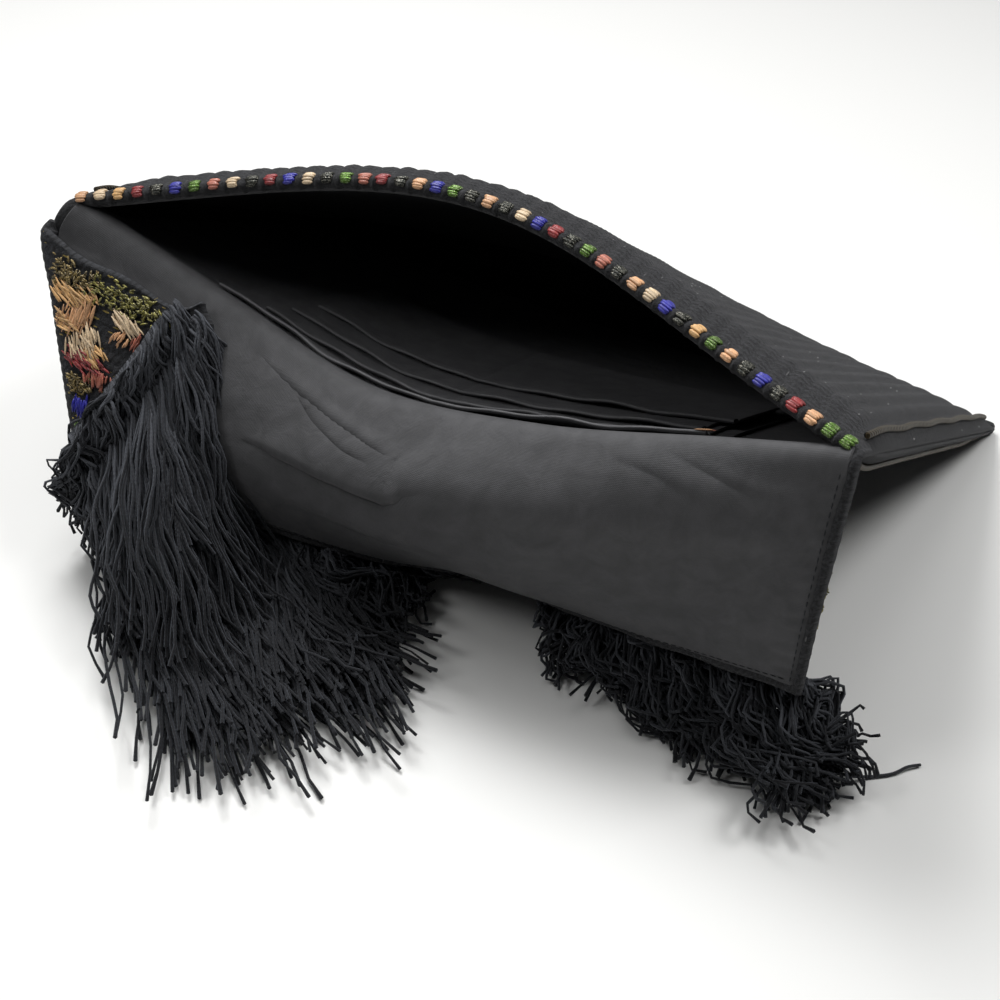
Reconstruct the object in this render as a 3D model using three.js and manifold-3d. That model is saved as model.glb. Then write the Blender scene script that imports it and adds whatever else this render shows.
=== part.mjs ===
import * as THREE from 'three';
import { mergeVertices } from 'three/addons/utils/BufferGeometryUtils.js';
import Module from 'manifold-3d';

// A woven clutch that stands open like a low tent. Its pouch slopes back and down to its bottom edge,
// its flap hangs in front, and the flap's lower left corner is folded over onto the lining.
// X runs along the mouth to the right, Y runs back from the mouth, and Z is up from the floor.

const wasm = await Module();
wasm.setup();

// Driving sizes in millimetres
const BODY_WIDTH = 290;
const BODY_LENGTH = 179;
const MOUTH_CHORD = 271.6;
const LEFT_CORNER_HEIGHT = 98;
const RIGHT_CORNER_HEIGHT = 103.3;
const RIM_RISE = 32.7;
const RIM_SETBACK = 20;
const LIP_SAG = 34.5;
const FRONT_PILLOW = 6.5;
const BACK_PILLOW = 4.5;
const FLAP_LENGTH = 73;
const EAR_START = 10;
const EAR_WIDTH = 69;
const CLOTH = 2;
const LINING = 1;
const POCKET_CLOTH = 0.7;
const GAP = 0.3;
const EAR_GAP = 0.8;
const BOTTOM_RADIUS = 2.5;
const BRAID_RADIUS = 2.3;
const FLOAT_COUNT = 45;
const FLOAT_HEIGHT = 0.9;
const SIDE_CORD_RADIUS = 0.9;
const SIDE_CORD_INSET = 4;
const FRINGE_LENGTH = 90;
const FRINGE_ROW_HEIGHT = 16;
const HEADER_WIDTH = 20;
const HEADER_MARGIN = 2.5;
const HEADER_THICKNESS = 1.4;
const LOCK_WIDTH = 25;
const LOCK_THICKNESS = 8;

// Insets of the linings in millimetres
const LINING_SEAM_INSET = 8;
const LINING_HEM_INSET = 2.5;
const LINING_FOLD_INSET = 6;

// How far down the pouch the linings reach, and where the side cords start and stop
const LINING_DEPTH = 150;
const CORD_START = 8;
const CORD_END_MARGIN = 9;

// Card pockets: how far down the pouch the first slot lies, the step between slots, and the pockets' end
const POCKET_START = 5;
const POCKET_STEP = 11;
const POCKET_END = 84;

// How fast the panels' opening and sag fade towards the bottom, and how their pillows round off
const FRONT_DECAY = 0.6;
const SAG_DECAY = 1.2;
const PILLOW_EDGE_POWER = 16;
const PILLOW_END_POWER = 10;
const PILLOW_START = 0.1;

// The rim's rise is skewed: shares of RIM_RISE in its second and third wave
const RIM_SKEW = 0.078;
const RIM_PEAK = -0.056;
// The rim leans to the right in the middle: share of MOUTH_CHORD
const RIM_LEAN = 0.015;

// The lip between back panel and flap: along the mouth, drop and shift back as shares of LIP_SAG
const LIP = [
  { at: 0, drop: 0, back: 0 },
  { at: 0.21, drop: 0.67, back: 0.06 },
  { at: 0.43, drop: 1, back: -0.14 },
  { at: 0.65, drop: 0.765, back: -0.14 },
  { at: 0.87, drop: 0.28, back: -0.06 },
  { at: 1, drop: 0, back: 0 },
];

// The flap in four rows down its length: each table goes from the folded corner's crease to the right
// edge, and gives the way from the lip as shares of FLAP_LENGTH
const FLAP_SHOULDER = [
  { at: 0, right: -0.058, forward: 0.089, drop: 0.123 },
  { at: 0.2, right: 0.03, forward: 0.11, drop: 0.06 },
  { at: 0.5, right: 0, forward: 0.13, drop: 0.035 },
  { at: 0.8, right: 0.01, forward: 0.1, drop: 0.07 },
  { at: 1, right: 0, forward: 0.055, drop: 0.125 },
];
const FLAP_UPPER = [
  { at: 0, right: 0.059, forward: 0.225, drop: 0.329 },
  { at: 0.13, right: 0.1, forward: 0.25, drop: 0.26 },
  { at: 0.26, right: 0.09, forward: 0.27, drop: 0.19 },
  { at: 0.5, right: 0.015, forward: 0.27, drop: 0.15 },
  { at: 0.65, right: 0.03, forward: 0.25, drop: 0.19 },
  { at: 0.82, right: 0.03, forward: 0.18, drop: 0.27 },
  { at: 1, right: 0, forward: 0.123, drop: 0.315 },
];
const FLAP_BELLY = [
  { at: 0, right: 0.257, forward: 0.455, drop: 0.678 },
  { at: 0.13, right: 0.28, forward: 0.46, drop: 0.56 },
  { at: 0.26, right: 0.24, forward: 0.43, drop: 0.45 },
  { at: 0.5, right: 0.12, forward: 0.35, drop: 0.44 },
  { at: 0.65, right: 0.08, forward: 0.31, drop: 0.51 },
  { at: 0.82, right: 0.07, forward: 0.245, drop: 0.59 },
  { at: 1, right: 0, forward: 0.22, drop: 0.66 },
];
const FLAP_HEM = [
  { at: 0, right: 0.455, forward: 0.685, drop: 1.027 },
  { at: 0.13, right: 0.43, forward: 0.56, drop: 0.87 },
  { at: 0.26, right: 0.4, forward: 0.42, drop: 0.74 },
  { at: 0.5, right: 0.247, forward: 0.137, drop: 0.68 },
  { at: 0.65, right: 0.127, forward: 0.137, drop: 0.76 },
  { at: 0.82, right: 0.105, forward: 0.19, drop: 0.89 },
  { at: 1, right: 0.003, forward: 0.274, drop: 1.004 },
];

// The four card slots from the lip inwards: where each starts and ends along the mouth
const POCKETS = [
  { name: 'card_pocket_1', left: 0.19, right: 0.84 },
  { name: 'card_pocket_2', left: 0.235, right: 0.82 },
  { name: 'card_pocket_3', left: 0.25, right: 0.81 },
  { name: 'card_pocket_4', left: 0.265, right: 0.83 },
];

// The section of a lock from its root to its end, as shares of LOCK_WIDTH and LOCK_THICKNESS
const LOCK_SECTION = [
  { at: 0, width: 0.6, height: 0.7 },
  { at: 0.3, width: 0.85, height: 1 },
  { at: 0.7, width: 1, height: 1 },
  { at: 1, width: 1.1, height: 0.7 },
];

// Fringe locks: where each starts along its row, its heading on the floor in degrees from straight
// ahead to the right, and its reach, the height of its end and its bow to the right of its heading as
// shares of FRINGE_LENGTH. On the folded corner 0 is the corner's point and 1 is its crease, and on the
// flap 0 is the crease and 1 is the right edge.
const EAR_UPPER_LOCKS = [
  { at: 0.12, heading: 56, reach: 0.46, end: 0.26, bow: 0 },
  { at: 0.45, heading: 40, reach: 0.4, end: 0.13, bow: 0 },
  { at: 0.78, heading: 30, reach: 0.32, end: 0, bow: 0 },
];
const EAR_HEM_LOCKS = [
  { at: 0.08, heading: 68, reach: 0.64, end: 0.09, bow: 0 },
  { at: 0.36, heading: 62, reach: 0.82, end: 0, bow: 0 },
  { at: 0.64, heading: 58, reach: 0.98, end: 0, bow: 0 },
  { at: 0.92, heading: 57, reach: 1.08, end: 0, bow: 0 },
];
const FLAP_HEM_LOCKS = [
  { at: 0.02, heading: 55, reach: 1.18, end: 0, bow: 0 },
  { at: 0.11, heading: 52, reach: 1.18, end: 0, bow: 0 },
  { at: 0.2, heading: 54, reach: 1.08, end: 0, bow: 0 },
  { at: 0.29, heading: 64, reach: 0.8, end: 0, bow: 0 },
  { at: 0.38, heading: 150, reach: 0.5, end: 0, bow: 0 },
  { at: 0.48, heading: 150, reach: 0.6, end: 0, bow: 0 },
  { at: 0.58, heading: 150, reach: 0.6, end: 0, bow: 0 },
  { at: 0.68, heading: 100, reach: 0.6, end: 0, bow: -0.1 },
  { at: 0.77, heading: 80, reach: 0.5, end: 0, bow: -0.1 },
  { at: 0.86, heading: 62, reach: 0.38, end: 0, bow: 0 },
  { at: 0.96, heading: 38, reach: 0.32, end: 0, bow: 0.22 },
];

// A lock leaves its root along the cloth, with a share of its reach and of its fall, and lies level
// over the last share of its reach
const EAR_LEAVE = { reach: 0.5, fall: 0.35 };
const HEM_LEAVE = { reach: 0.2, fall: 0.6 };
const LOCK_LANDING = 0.35;
const LOCK_STEPS = 6;

// Grids and rods: columns over the pouch and the folded corner, rows as shares of their spans, and the
// number of sides of each kind of rod
const COLUMNS = 18;
const FLAP_ROWS = [0.055, 0.19, 0.34, 0.51, 0.67, 0.84, 1];
const BACK_SHARES = [1, 0.8, 0.6, 0.4, 0.22, 0.1];
const EAR_COLUMNS = 8;
const EAR_ROWS = [0, 0.25, 0.5, 0.75, 0.95];
const CREASE_STEPS = 8;
const ROUND_SIDES = 8;
const BRAID_SIDES = 6;
const LOCK_SIDES = 6;
const CORD_SIDES = 5;

const leftCorner = new THREE.Vector3(-MOUTH_CHORD / 2, 0, LEFT_CORNER_HEIGHT);
const rightCorner = new THREE.Vector3(MOUTH_CHORD / 2, 0, RIGHT_CORNER_HEIGHT);
const mouthHeight = (LEFT_CORNER_HEIGHT + RIGHT_CORNER_HEIGHT) / 2;
const bodyReach = Math.sqrt(BODY_LENGTH ** 2 - (mouthHeight - BOTTOM_RADIUS) ** 2);
const downSlope = new THREE.Vector3(0, bodyReach, BOTTOM_RADIUS - mouthHeight).normalize();
const bodyNormal = new THREE.Vector3(0, -downSlope.z, downSlope.y);
const up = new THREE.Vector3(0, 0, 1);

// Smooth curve through the rows of a table, read at a share or a length
function follow(rows, column, at) {
  const last = rows.length - 1;
  let i = 0;
  while (i < last - 1 && at > rows[i + 1].at) i += 1;
  const slope = (k) => {
    const before = rows[Math.max(k - 1, 0)];
    const after = rows[Math.min(k + 1, last)];
    return (after[column] - before[column]) / (after.at - before.at);
  };
  const span = rows[i + 1].at - rows[i].at;
  const f = (at - rows[i].at) / span;
  const rise = rows[i + 1][column] - rows[i][column];
  const cubic = (slope(i) + slope(i + 1)) * span - 2 * rise;
  const square = 3 * rise - (2 * slope(i) + slope(i + 1)) * span;
  return rows[i][column] + f * (slope(i) * span + f * (square + f * cubic));
}

function mouthPoint(across) {
  return leftCorner.clone().lerp(rightCorner, across);
}

function bottomPoint(across) {
  return new THREE.Vector3((across - 0.5) * BODY_WIDTH, bodyReach, BOTTOM_RADIUS);
}

function lipPoint(across) {
  const point = mouthPoint(across);
  point.y += follow(LIP, 'back', across) * LIP_SAG;
  point.z -= follow(LIP, 'drop', across) * LIP_SAG;
  return point;
}

// The share of its pillow by which a panel stands off the flat middle of the pouch
function pillow(across, share) {
  const edge = 1 - Math.abs(2 * across - 1) ** PILLOW_EDGE_POWER;
  const start = THREE.MathUtils.smoothstep(share, 0, PILLOW_START);
  return edge * start * (1 - share ** PILLOW_END_POWER);
}

// The back panel at a length down from the lip
function backPoint(across, length) {
  const share = length / BODY_LENGTH;
  const fade = (1 - share) ** SAG_DECAY;
  const point = mouthPoint(across).lerp(bottomPoint(across), share);
  point.y += follow(LIP, 'back', across) * LIP_SAG * fade;
  point.z -= follow(LIP, 'drop', across) * LIP_SAG * fade;
  return point.addScaledVector(bodyNormal, -BACK_PILLOW * pillow(across, share));
}

// The front panel at a length down from the rim
function frontPoint(across, length) {
  const share = Math.min(length / BODY_LENGTH, 1);
  const wave = (count) => Math.sin(count * Math.PI * across);
  const rise = RIM_RISE * (wave(1) + RIM_SKEW * wave(2) + RIM_PEAK * wave(3));
  const point = mouthPoint(across).lerp(bottomPoint(across), share);
  point.x += RIM_LEAN * MOUTH_CHORD * wave(1) * (1 - share);
  point.addScaledVector(downSlope, RIM_SETBACK * wave(1) * (1 - share));
  point.addScaledVector(bodyNormal, rise * (1 - share) ** FRONT_DECAY);
  return point.addScaledVector(bodyNormal, FRONT_PILLOW * pillow(across, share));
}

function flapRow(table, across) {
  return new THREE.Vector3(
    follow(table, 'right', across),
    -follow(table, 'forward', across),
    -follow(table, 'drop', across),
  ).multiplyScalar(FLAP_LENGTH).add(lipPoint(across));
}

// The back panel and the flap are one cloth: run is minus BODY_LENGTH at the bottom, 0 at the lip and
// FLAP_LENGTH at the hem, and across goes over the flap from the crease to the right edge
function sheetPoint(across, run) {
  const rows = BACK_SHARES.map((share) => (
    { at: -share * BODY_LENGTH, point: backPoint(across, share * BODY_LENGTH) }
  ));
  rows.push({ at: 0, point: lipPoint(across) });
  rows.push({ at: EAR_START, point: flapRow(FLAP_SHOULDER, across) });
  rows.push({ at: FLAP_LENGTH / 3, point: flapRow(FLAP_UPPER, across) });
  rows.push({ at: FLAP_LENGTH * 2 / 3, point: flapRow(FLAP_BELLY, across) });
  rows.push({ at: FLAP_LENGTH, point: flapRow(FLAP_HEM, across) });
  const flatRows = rows.map(({ at, point }) => ({ at, x: point.x, y: point.y, z: point.z }));
  return new THREE.Vector3(...['x', 'y', 'z'].map((column) => follow(flatRows, column, run)));
}

// How far the crease of the folded corner lies from the flap's left side
function creaseAt(down) {
  return EAR_WIDTH * Math.max(0, down - EAR_START) / (FLAP_LENGTH - EAR_START);
}

// The folded corner is the flap's lower left triangle turned over its crease: each of its points, given
// by its flat place right of the left side and down from the lip, lies over the mirrored place
const creaseLength = Math.hypot(EAR_WIDTH, FLAP_LENGTH - EAR_START);
const creaseRight = EAR_WIDTH / creaseLength;
const creaseDown = (FLAP_LENGTH - EAR_START) / creaseLength;
function earPoint(right, down) {
  const along = right * creaseRight + (down - EAR_START) * creaseDown;
  const overRight = 2 * along * creaseRight - right;
  const overDown = EAR_START + 2 * along * creaseDown - (down - EAR_START);
  const crease = creaseAt(overDown);
  return sheetPoint((overRight - crease) / (BODY_WIDTH - crease), overDown);
}

// A point of a surface with the surface's normal
function withNormal(surface, a, b, stepA, stepB) {
  const overA = surface(a + stepA, b).sub(surface(a - stepA, b));
  const overB = surface(a, b + stepB).sub(surface(a, b - stepB));
  return { point: surface(a, b), normal: overA.cross(overB).normalize() };
}

const NUDGE_ACROSS = 0.002;
const NUDGE = 0.4;

// The normal of the front panel points outwards, and that of the back sheet towards its lining
function frontSpot(across, length) {
  return withNormal(frontPoint, across, length, NUDGE_ACROSS, NUDGE);
}

function sheetSpot(across, run) {
  return withNormal(sheetPoint, across, run, -NUDGE_ACROSS, NUDGE);
}

// The normal of the folded corner points out of the flap, to the cloth's own outer face
function earSpot(right, down) {
  return withNormal(earPoint, right, down, NUDGE, NUDGE);
}

function offset({ point, normal }, height) {
  return point.clone().addScaledVector(normal, height);
}

// Shares from 0 to 1, closer together towards both ends
function crowdedShares(count) {
  return Array.from({ length: count + 1 }, (_, i) => (1 - Math.cos(Math.PI * i / count)) / 2);
}

function evenShares(count) {
  return Array.from({ length: count + 1 }, (_, i) => i / count);
}

function steps(start, end, shares) {
  return shares.map((share) => THREE.MathUtils.lerp(start, end, share));
}

// The rows of the back sheet: one at each card slot, at the pockets' end and at the linings' end
const slotRows = POCKETS.map((pocket, k) => POCKET_START + k * POCKET_STEP);
const downRows = [
  ...slotRows,
  ...steps(slotRows.at(-1), POCKET_END, [0.25, 0.55, 1]),
  ...steps(POCKET_END, LINING_DEPTH, [0.33, 0.67, 1]),
  ...steps(LINING_DEPTH, BODY_LENGTH, [0.5, 1]),
];
const sheetRows = [
  ...downRows.map((length) => -length).reverse(),
  ...steps(0, FLAP_LENGTH - LINING_HEM_INSET, FLAP_ROWS),
  FLAP_LENGTH,
];
const sheetColumns = crowdedShares(COLUMNS);

// The columns and rows of the back sheet that lie well between two limits
function columnsBetween(left, right, margin = 0.01) {
  return sheetColumns.filter((across) => across > left + margin && across < right - margin);
}

function rowsBetween(start, end, rows = sheetRows, margin = 1) {
  return [start, ...rows.filter((run) => run > start + margin && run < end - margin), end];
}

// Closed sheet of cloth over a grid of spots, between two heights along their normals. The rows follow
// each other so that across and then along the rows turns about the normal.
function sheetGeometry(grid, low, high) {
  const positions = [];
  for (const height of [low, high]) {
    for (const row of grid) {
      for (const spot of row) positions.push(...offset(spot, height));
    }
  }
  const width = grid[0].length;
  const layer = width * grid.length;
  const faces = [];
  const quad = (a, b, c, d) => faces.push(a, b, c, a, c, d);
  for (let j = 0; j < grid.length - 1; j += 1) {
    for (let i = 0; i < width - 1; i += 1) {
      const a = j * width + i;
      quad(layer + a, layer + a + 1, layer + a + width + 1, layer + a + width);
      quad(a, a + width, a + width + 1, a + 1);
    }
  }
  for (let i = 0; i < width - 1; i += 1) {
    const far = (grid.length - 1) * width + i;
    quad(i, i + 1, layer + i + 1, layer + i);
    quad(far + 1, far, layer + far, layer + far + 1);
  }
  for (let j = 0; j < grid.length - 1; j += 1) {
    const near = j * width;
    const far = near + width - 1;
    quad(near + width, near, layer + near, layer + near + width);
    quad(far, far + width, layer + far + width, layer + far);
  }
  const geometry = new THREE.BufferGeometry();
  geometry.setAttribute('position', new THREE.Float32BufferAttribute(positions, 3));
  geometry.setIndex(faces);
  return geometry;
}

// Closed rod along points with an elliptic section: its width lies level, or along the steep direction
// where the path falls steeply, and its height across that and the path
const STEEP = 0.4;
function rodGeometry(points, widthAt, heightAt, sides, steep = null) {
  const positions = [];
  const last = points.length - 1;
  points.forEach((point, k) => {
    const along = points[Math.min(k + 1, last)].clone().sub(points[Math.max(k - 1, 0)]).normalize();
    const level = new THREE.Vector3().crossVectors(along, up);
    const sideways = (steep && level.length() < STEEP ? steep.clone() : level).normalize();
    const upright = new THREE.Vector3().crossVectors(sideways, along);
    for (let i = 0; i < sides; i += 1) {
      const angle = (i + 0.5) / sides * 2 * Math.PI;
      const corner = point.clone()
        .addScaledVector(sideways, Math.cos(angle) * widthAt(k / last) / 2)
        .addScaledVector(upright, Math.sin(angle) * heightAt(k / last) / 2);
      positions.push(...corner);
    }
  });
  positions.push(...points[0], ...points[last]);
  const faces = [];
  for (let k = 0; k < last; k += 1) {
    for (let i = 0; i < sides; i += 1) {
      const a = k * sides + i;
      const b = k * sides + (i + 1) % sides;
      faces.push(a, b + sides, b, a, a + sides, b + sides);
    }
  }
  const startCentre = points.length * sides;
  for (let i = 0; i < sides; i += 1) {
    const next = (i + 1) % sides;
    faces.push(startCentre, i, next);
    faces.push(startCentre + 1, last * sides + next, last * sides + i);
  }
  const geometry = new THREE.BufferGeometry();
  geometry.setAttribute('position', new THREE.Float32BufferAttribute(positions, 3));
  geometry.setIndex(faces);
  return geometry;
}

function solidOf(geometry) {
  const bare = geometry.clone();
  bare.deleteAttribute('normal');
  bare.deleteAttribute('uv');
  const merged = mergeVertices(bare, 1e-4);
  return new wasm.Manifold(new wasm.Mesh({
    numProp: 3,
    vertProperties: new Float32Array(merged.attributes.position.array),
    triVerts: new Uint32Array(merged.index.array),
  }));
}

function geometryOf(solid) {
  const mesh = solid.getMesh();
  const geometry = new THREE.BufferGeometry();
  geometry.setAttribute('position', new THREE.BufferAttribute(mesh.vertProperties, 3));
  geometry.setIndex(new THREE.BufferAttribute(mesh.triVerts, 1));
  return geometry;
}

function fuse(geometries) {
  return geometries.map(solidOf).reduce((whole, solid) => whole.add(solid));
}

const blackWeave = new THREE.MeshStandardMaterial({ color: 0x17181b, roughness: 0.95, metalness: 0 });
const blackTwill = new THREE.MeshStandardMaterial({ color: 0x1f2023, roughness: 0.9, metalness: 0 });
const pocketTwill = new THREE.MeshStandardMaterial({ color: 0x1b1c1f, roughness: 0.9, metalness: 0 });
const colouredFloats = new THREE.MeshStandardMaterial({ color: 0x8a6a4a, roughness: 0.5, metalness: 0.1 });
const bronzeCord = new THREE.MeshStandardMaterial({ color: 0x4a4030, roughness: 0.45, metalness: 0.6 });
const fringeCotton = new THREE.MeshStandardMaterial({ color: 0x15171b, roughness: 1, metalness: 0 });

const clutch = new THREE.Group();

function addPiece(name, geometry, material) {
  const mesh = new THREE.Mesh(geometry, material);
  mesh.name = name;
  clutch.add(mesh);
}

// Heights over the middle of the cloth
const faceHeight = CLOTH / 2;
const liningLow = faceHeight + GAP;
const liningHigh = liningLow + LINING;
const earHeight = liningHigh + EAR_GAP + faceHeight;
const earFace = earHeight + faceHeight;
const foldRadius = earHeight / 2 + faceHeight;
const braidClearance = BRAID_RADIUS + 2 * GAP;

// Rows of spots on the back sheet, from the hem's side to the bottom's, between a left and a right limit
function sheetGrid(rows, leftAt, rightAt) {
  const inner = columnsBetween(Math.max(...rows.map(leftAt)), Math.min(...rows.map(rightAt)));
  return [...rows].reverse().map((run) => (
    [leftAt(run), ...inner, rightAt(run)].map((across) => sheetSpot(across, run))
  ));
}

function frontGrid(lengths, columns) {
  return lengths.map((length) => columns.map((across) => frontSpot(across, length)));
}

// Rows of spots on the folded corner, from its crease towards its point, with more beyond its edges
function earGrid(beyond) {
  const extra = beyond > 0;
  const rows = [...(extra ? [-beyond] : []), ...EAR_ROWS, ...(extra ? [EAR_ROWS.at(-1) + beyond] : [])];
  const shares = evenShares(EAR_COLUMNS);
  const columns = [...(extra ? [-beyond] : []), ...shares, ...(extra ? [1 + beyond] : [])];
  return rows.map((towards) => columns.map((along) => earSpot(
    along * EAR_WIDTH * (1 - towards),
    THREE.MathUtils.lerp(EAR_START, FLAP_LENGTH, along + (1 - along) * towards),
  )));
}

function creaseRod(extra) {
  const runs = steps(EAR_START, FLAP_LENGTH, evenShares(CREASE_STEPS));
  const points = runs.map((run) => offset(sheetSpot(0, run), earHeight / 2));
  const size = 2 * (foldRadius + extra);
  return rodGeometry(points, () => size, () => size, ROUND_SIDES);
}

// The bottom edge is round with a flat side on the floor
function bottomRod() {
  const size = 2 * BOTTOM_RADIUS / Math.cos(Math.PI / ROUND_SIDES);
  return rodGeometry([bottomPoint(0), bottomPoint(1)], () => size, () => size, ROUND_SIDES);
}

// Woven shell: front panel, back panel with flap, folded corner and bottom edge
const frontLengths = [
  braidClearance,
  ...steps(0, LINING_DEPTH, [0.08, 0.18, 0.33, 0.56, 0.8, 1]),
  ...steps(LINING_DEPTH, BODY_LENGTH, [0.7, 1]),
];
const wholeSheet = sheetGrid(sheetRows, () => 0, () => 1);
const wholeEar = earGrid(0);
const shell = fuse([
  sheetGeometry(wholeSheet, -faceHeight, faceHeight),
  sheetGeometry(frontGrid(frontLengths, sheetColumns), -faceHeight, faceHeight),
  sheetGeometry(wholeEar, earHeight - faceHeight, earFace),
  creaseRod(0),
  bottomRod(),
]);
addPiece('woven_shell', geometryOf(shell), blackWeave);

// Linings, whose edges stay inside the seams, the hem and the fold
function liningLeft(run) {
  return (run > EAR_START ? LINING_FOLD_INSET : LINING_SEAM_INSET) / BODY_WIDTH;
}

function liningRight(run) {
  return 1 - (run > EAR_START ? LINING_HEM_INSET : LINING_SEAM_INSET) / BODY_WIDTH;
}

const liningRows = rowsBetween(-LINING_DEPTH, FLAP_LENGTH - LINING_HEM_INSET);
const liningGrid = sheetGrid(liningRows, liningLeft, liningRight);
addPiece('back_lining', sheetGeometry(liningGrid, liningLow, liningHigh), blackTwill);

const liningTop = 2 * braidClearance;
const frontLiningLengths = [
  liningTop,
  ...frontLengths.filter((length) => length > liningTop && length <= LINING_DEPTH),
];
const seamLeft = liningLeft(0);
const seamRight = liningRight(0);
const frontLiningColumns = [seamLeft, ...columnsBetween(seamLeft, seamRight), seamRight];
addPiece('front_lining', sheetGeometry(frontGrid(frontLiningLengths, frontLiningColumns),
  -liningHigh, -liningLow), blackTwill);

// Card pockets, each one lying over the one before
POCKETS.forEach(({ name, left, right }, k) => {
  const low = liningHigh + GAP + k * (POCKET_CLOTH + GAP);
  const grid = sheetGrid(rowsBetween(-POCKET_END, -slotRows[k]), () => left, () => right);
  addPiece(name, sheetGeometry(grid, low, low + POCKET_CLOTH), pocketTwill);
});

// Rim braid: a round hem that swells at each float
const BRAID_START = 0.022;
const braidPoints = [];
for (let k = 0; k <= 2 * FLOAT_COUNT; k += 1) {
  const across = THREE.MathUtils.lerp(BRAID_START, 1 - BRAID_START, k / (2 * FLOAT_COUNT));
  braidPoints.push(frontPoint(across, 0));
}
const braidSize = (share) => {
  const onFloat = Math.round(share * 2 * FLOAT_COUNT) % 2;
  return 2 * (BRAID_RADIUS - FLOAT_HEIGHT * (1 - onFloat));
};
addPiece('rim_braid', rodGeometry(braidPoints, braidSize, braidSize, BRAID_SIDES), colouredFloats);

// Side cords on the margins of both side seams
const cordEnd = BODY_LENGTH - CORD_END_MARGIN;
const frontCordLengths = rowsBetween(CORD_START, cordEnd, frontLengths);
const backCordRows = rowsBetween(-cordEnd, -CORD_START);
const cordHeight = faceHeight + GAP + SIDE_CORD_RADIUS;
const seamMargins = { left: SIDE_CORD_INSET / BODY_WIDTH, right: 1 - SIDE_CORD_INSET / BODY_WIDTH };
for (const [side, across] of Object.entries(seamMargins)) {
  const paths = {
    front: frontCordLengths.map((length) => offset(frontSpot(across, length), cordHeight)),
    back: backCordRows.map((run) => offset(sheetSpot(across, run), -cordHeight)),
  };
  for (const [panel, points] of Object.entries(paths)) {
    const size = () => 2 * SIDE_CORD_RADIUS;
    addPiece(`side_cord_${panel}_${side}`, rodGeometry(points, size, size, CORD_SIDES), bronzeCord);
  }
}

// Fringe: headers on the outer face of the flap and of the folded corner, and locks that hang from them
const headerLow = faceHeight + GAP;
const headerHigh = headerLow + HEADER_THICKNESS;

function lockGeometry(root, leave, { heading, reach, end, bow }) {
  const angle = THREE.MathUtils.degToRad(heading);
  const ahead = new THREE.Vector3(Math.sin(angle), -Math.cos(angle), 0);
  const sideways = new THREE.Vector3(Math.cos(angle), Math.sin(angle), 0);
  const tip = root.clone().addScaledVector(ahead, reach * FRINGE_LENGTH);
  tip.z = end * FRINGE_LENGTH + LOCK_THICKNESS / 3;
  const fall = root.z - tip.z;
  const first = root.clone().addScaledVector(ahead, leave.reach * reach * FRINGE_LENGTH);
  first.addScaledVector(up, -leave.fall * fall).addScaledVector(sideways, bow * FRINGE_LENGTH);
  const second = tip.clone().addScaledVector(ahead, -LOCK_LANDING * reach * FRINGE_LENGTH);
  second.addScaledVector(sideways, bow * FRINGE_LENGTH);
  const points = new THREE.CubicBezierCurve3(root, first, second, tip).getPoints(LOCK_STEPS);
  const width = (share) => LOCK_WIDTH * follow(LOCK_SECTION, 'width', share);
  const height = (share) => LOCK_THICKNESS * follow(LOCK_SECTION, 'height', share);
  return rodGeometry(points, width, height, LOCK_SIDES, sideways.negate());
}

const upperRow = FLAP_LENGTH - FRINGE_ROW_HEIGHT;
const headerStart = FLAP_LENGTH - HEADER_WIDTH;
const earHeader = steps(headerStart, FLAP_LENGTH, [0, 0.5, 1]).map((down) => (
  steps(HEADER_MARGIN, creaseAt(down) - HEADER_MARGIN, evenShares(4)).map((right) => earSpot(right, down))
));
const headerLeft = HEADER_MARGIN / BODY_WIDTH;
const flapHeader = sheetGrid(rowsBetween(headerStart, FLAP_LENGTH), () => headerLeft, () => 1 - headerLeft);
const fringe = fuse([
  sheetGeometry(earHeader, earFace + GAP, earFace + GAP + HEADER_THICKNESS),
  sheetGeometry(flapHeader, -headerHigh, -headerLow),
  ...EAR_UPPER_LOCKS.map((lock) => {
    const root = offset(earSpot(lock.at * creaseAt(upperRow), upperRow), earHeight + headerHigh);
    return lockGeometry(root, EAR_LEAVE, lock);
  }),
  ...EAR_HEM_LOCKS.map((lock) => {
    const root = offset(earSpot(lock.at * EAR_WIDTH, FLAP_LENGTH), earHeight + headerHigh);
    return lockGeometry(root, EAR_LEAVE, lock);
  }),
  ...FLAP_HEM_LOCKS.map((lock) => (
    lockGeometry(offset(sheetSpot(lock.at, FLAP_LENGTH), -headerHigh), HEM_LEAVE, lock)
  )),
]);

// The fringe is cut clear of the cloth that it hangs over, and level where it lies on the floor. The cut
// leaves small scraps behind the cloth, so only the largest body is kept.
const floor = new THREE.BoxGeometry(4 * BODY_WIDTH, 4 * BODY_WIDTH, BODY_WIDTH);
floor.translate(0, 0, -BODY_WIDTH / 2);
const clearEdge = 2 * GAP / BODY_WIDTH;
const clearRows = [...sheetRows, FLAP_LENGTH + GAP];
const clearSheet = sheetGrid(clearRows, () => -clearEdge, () => 1 + clearEdge);
const clearEar = earGrid(2 * GAP / EAR_WIDTH);
const clearance = fuse([
  sheetGeometry(clearSheet, -faceHeight - GAP, liningHigh + GAP),
  sheetGeometry(clearEar, earHeight - faceHeight - GAP, earFace + GAP),
  creaseRod(GAP),
  floor,
]);
const fringeBodies = fringe.subtract(clearance).decompose().sort((a, b) => b.volume() - a.volume());
addPiece('hem_fringe', geometryOf(fringeBodies[0]), fringeCotton);

// The part stands on the floor, with the middle of its outline at the origin
const outline = new THREE.Box3().setFromObject(clutch);
const middle = outline.getCenter(new THREE.Vector3());
clutch.position.set(-middle.x, -middle.y, -outline.min.z);

export default clutch;
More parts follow.
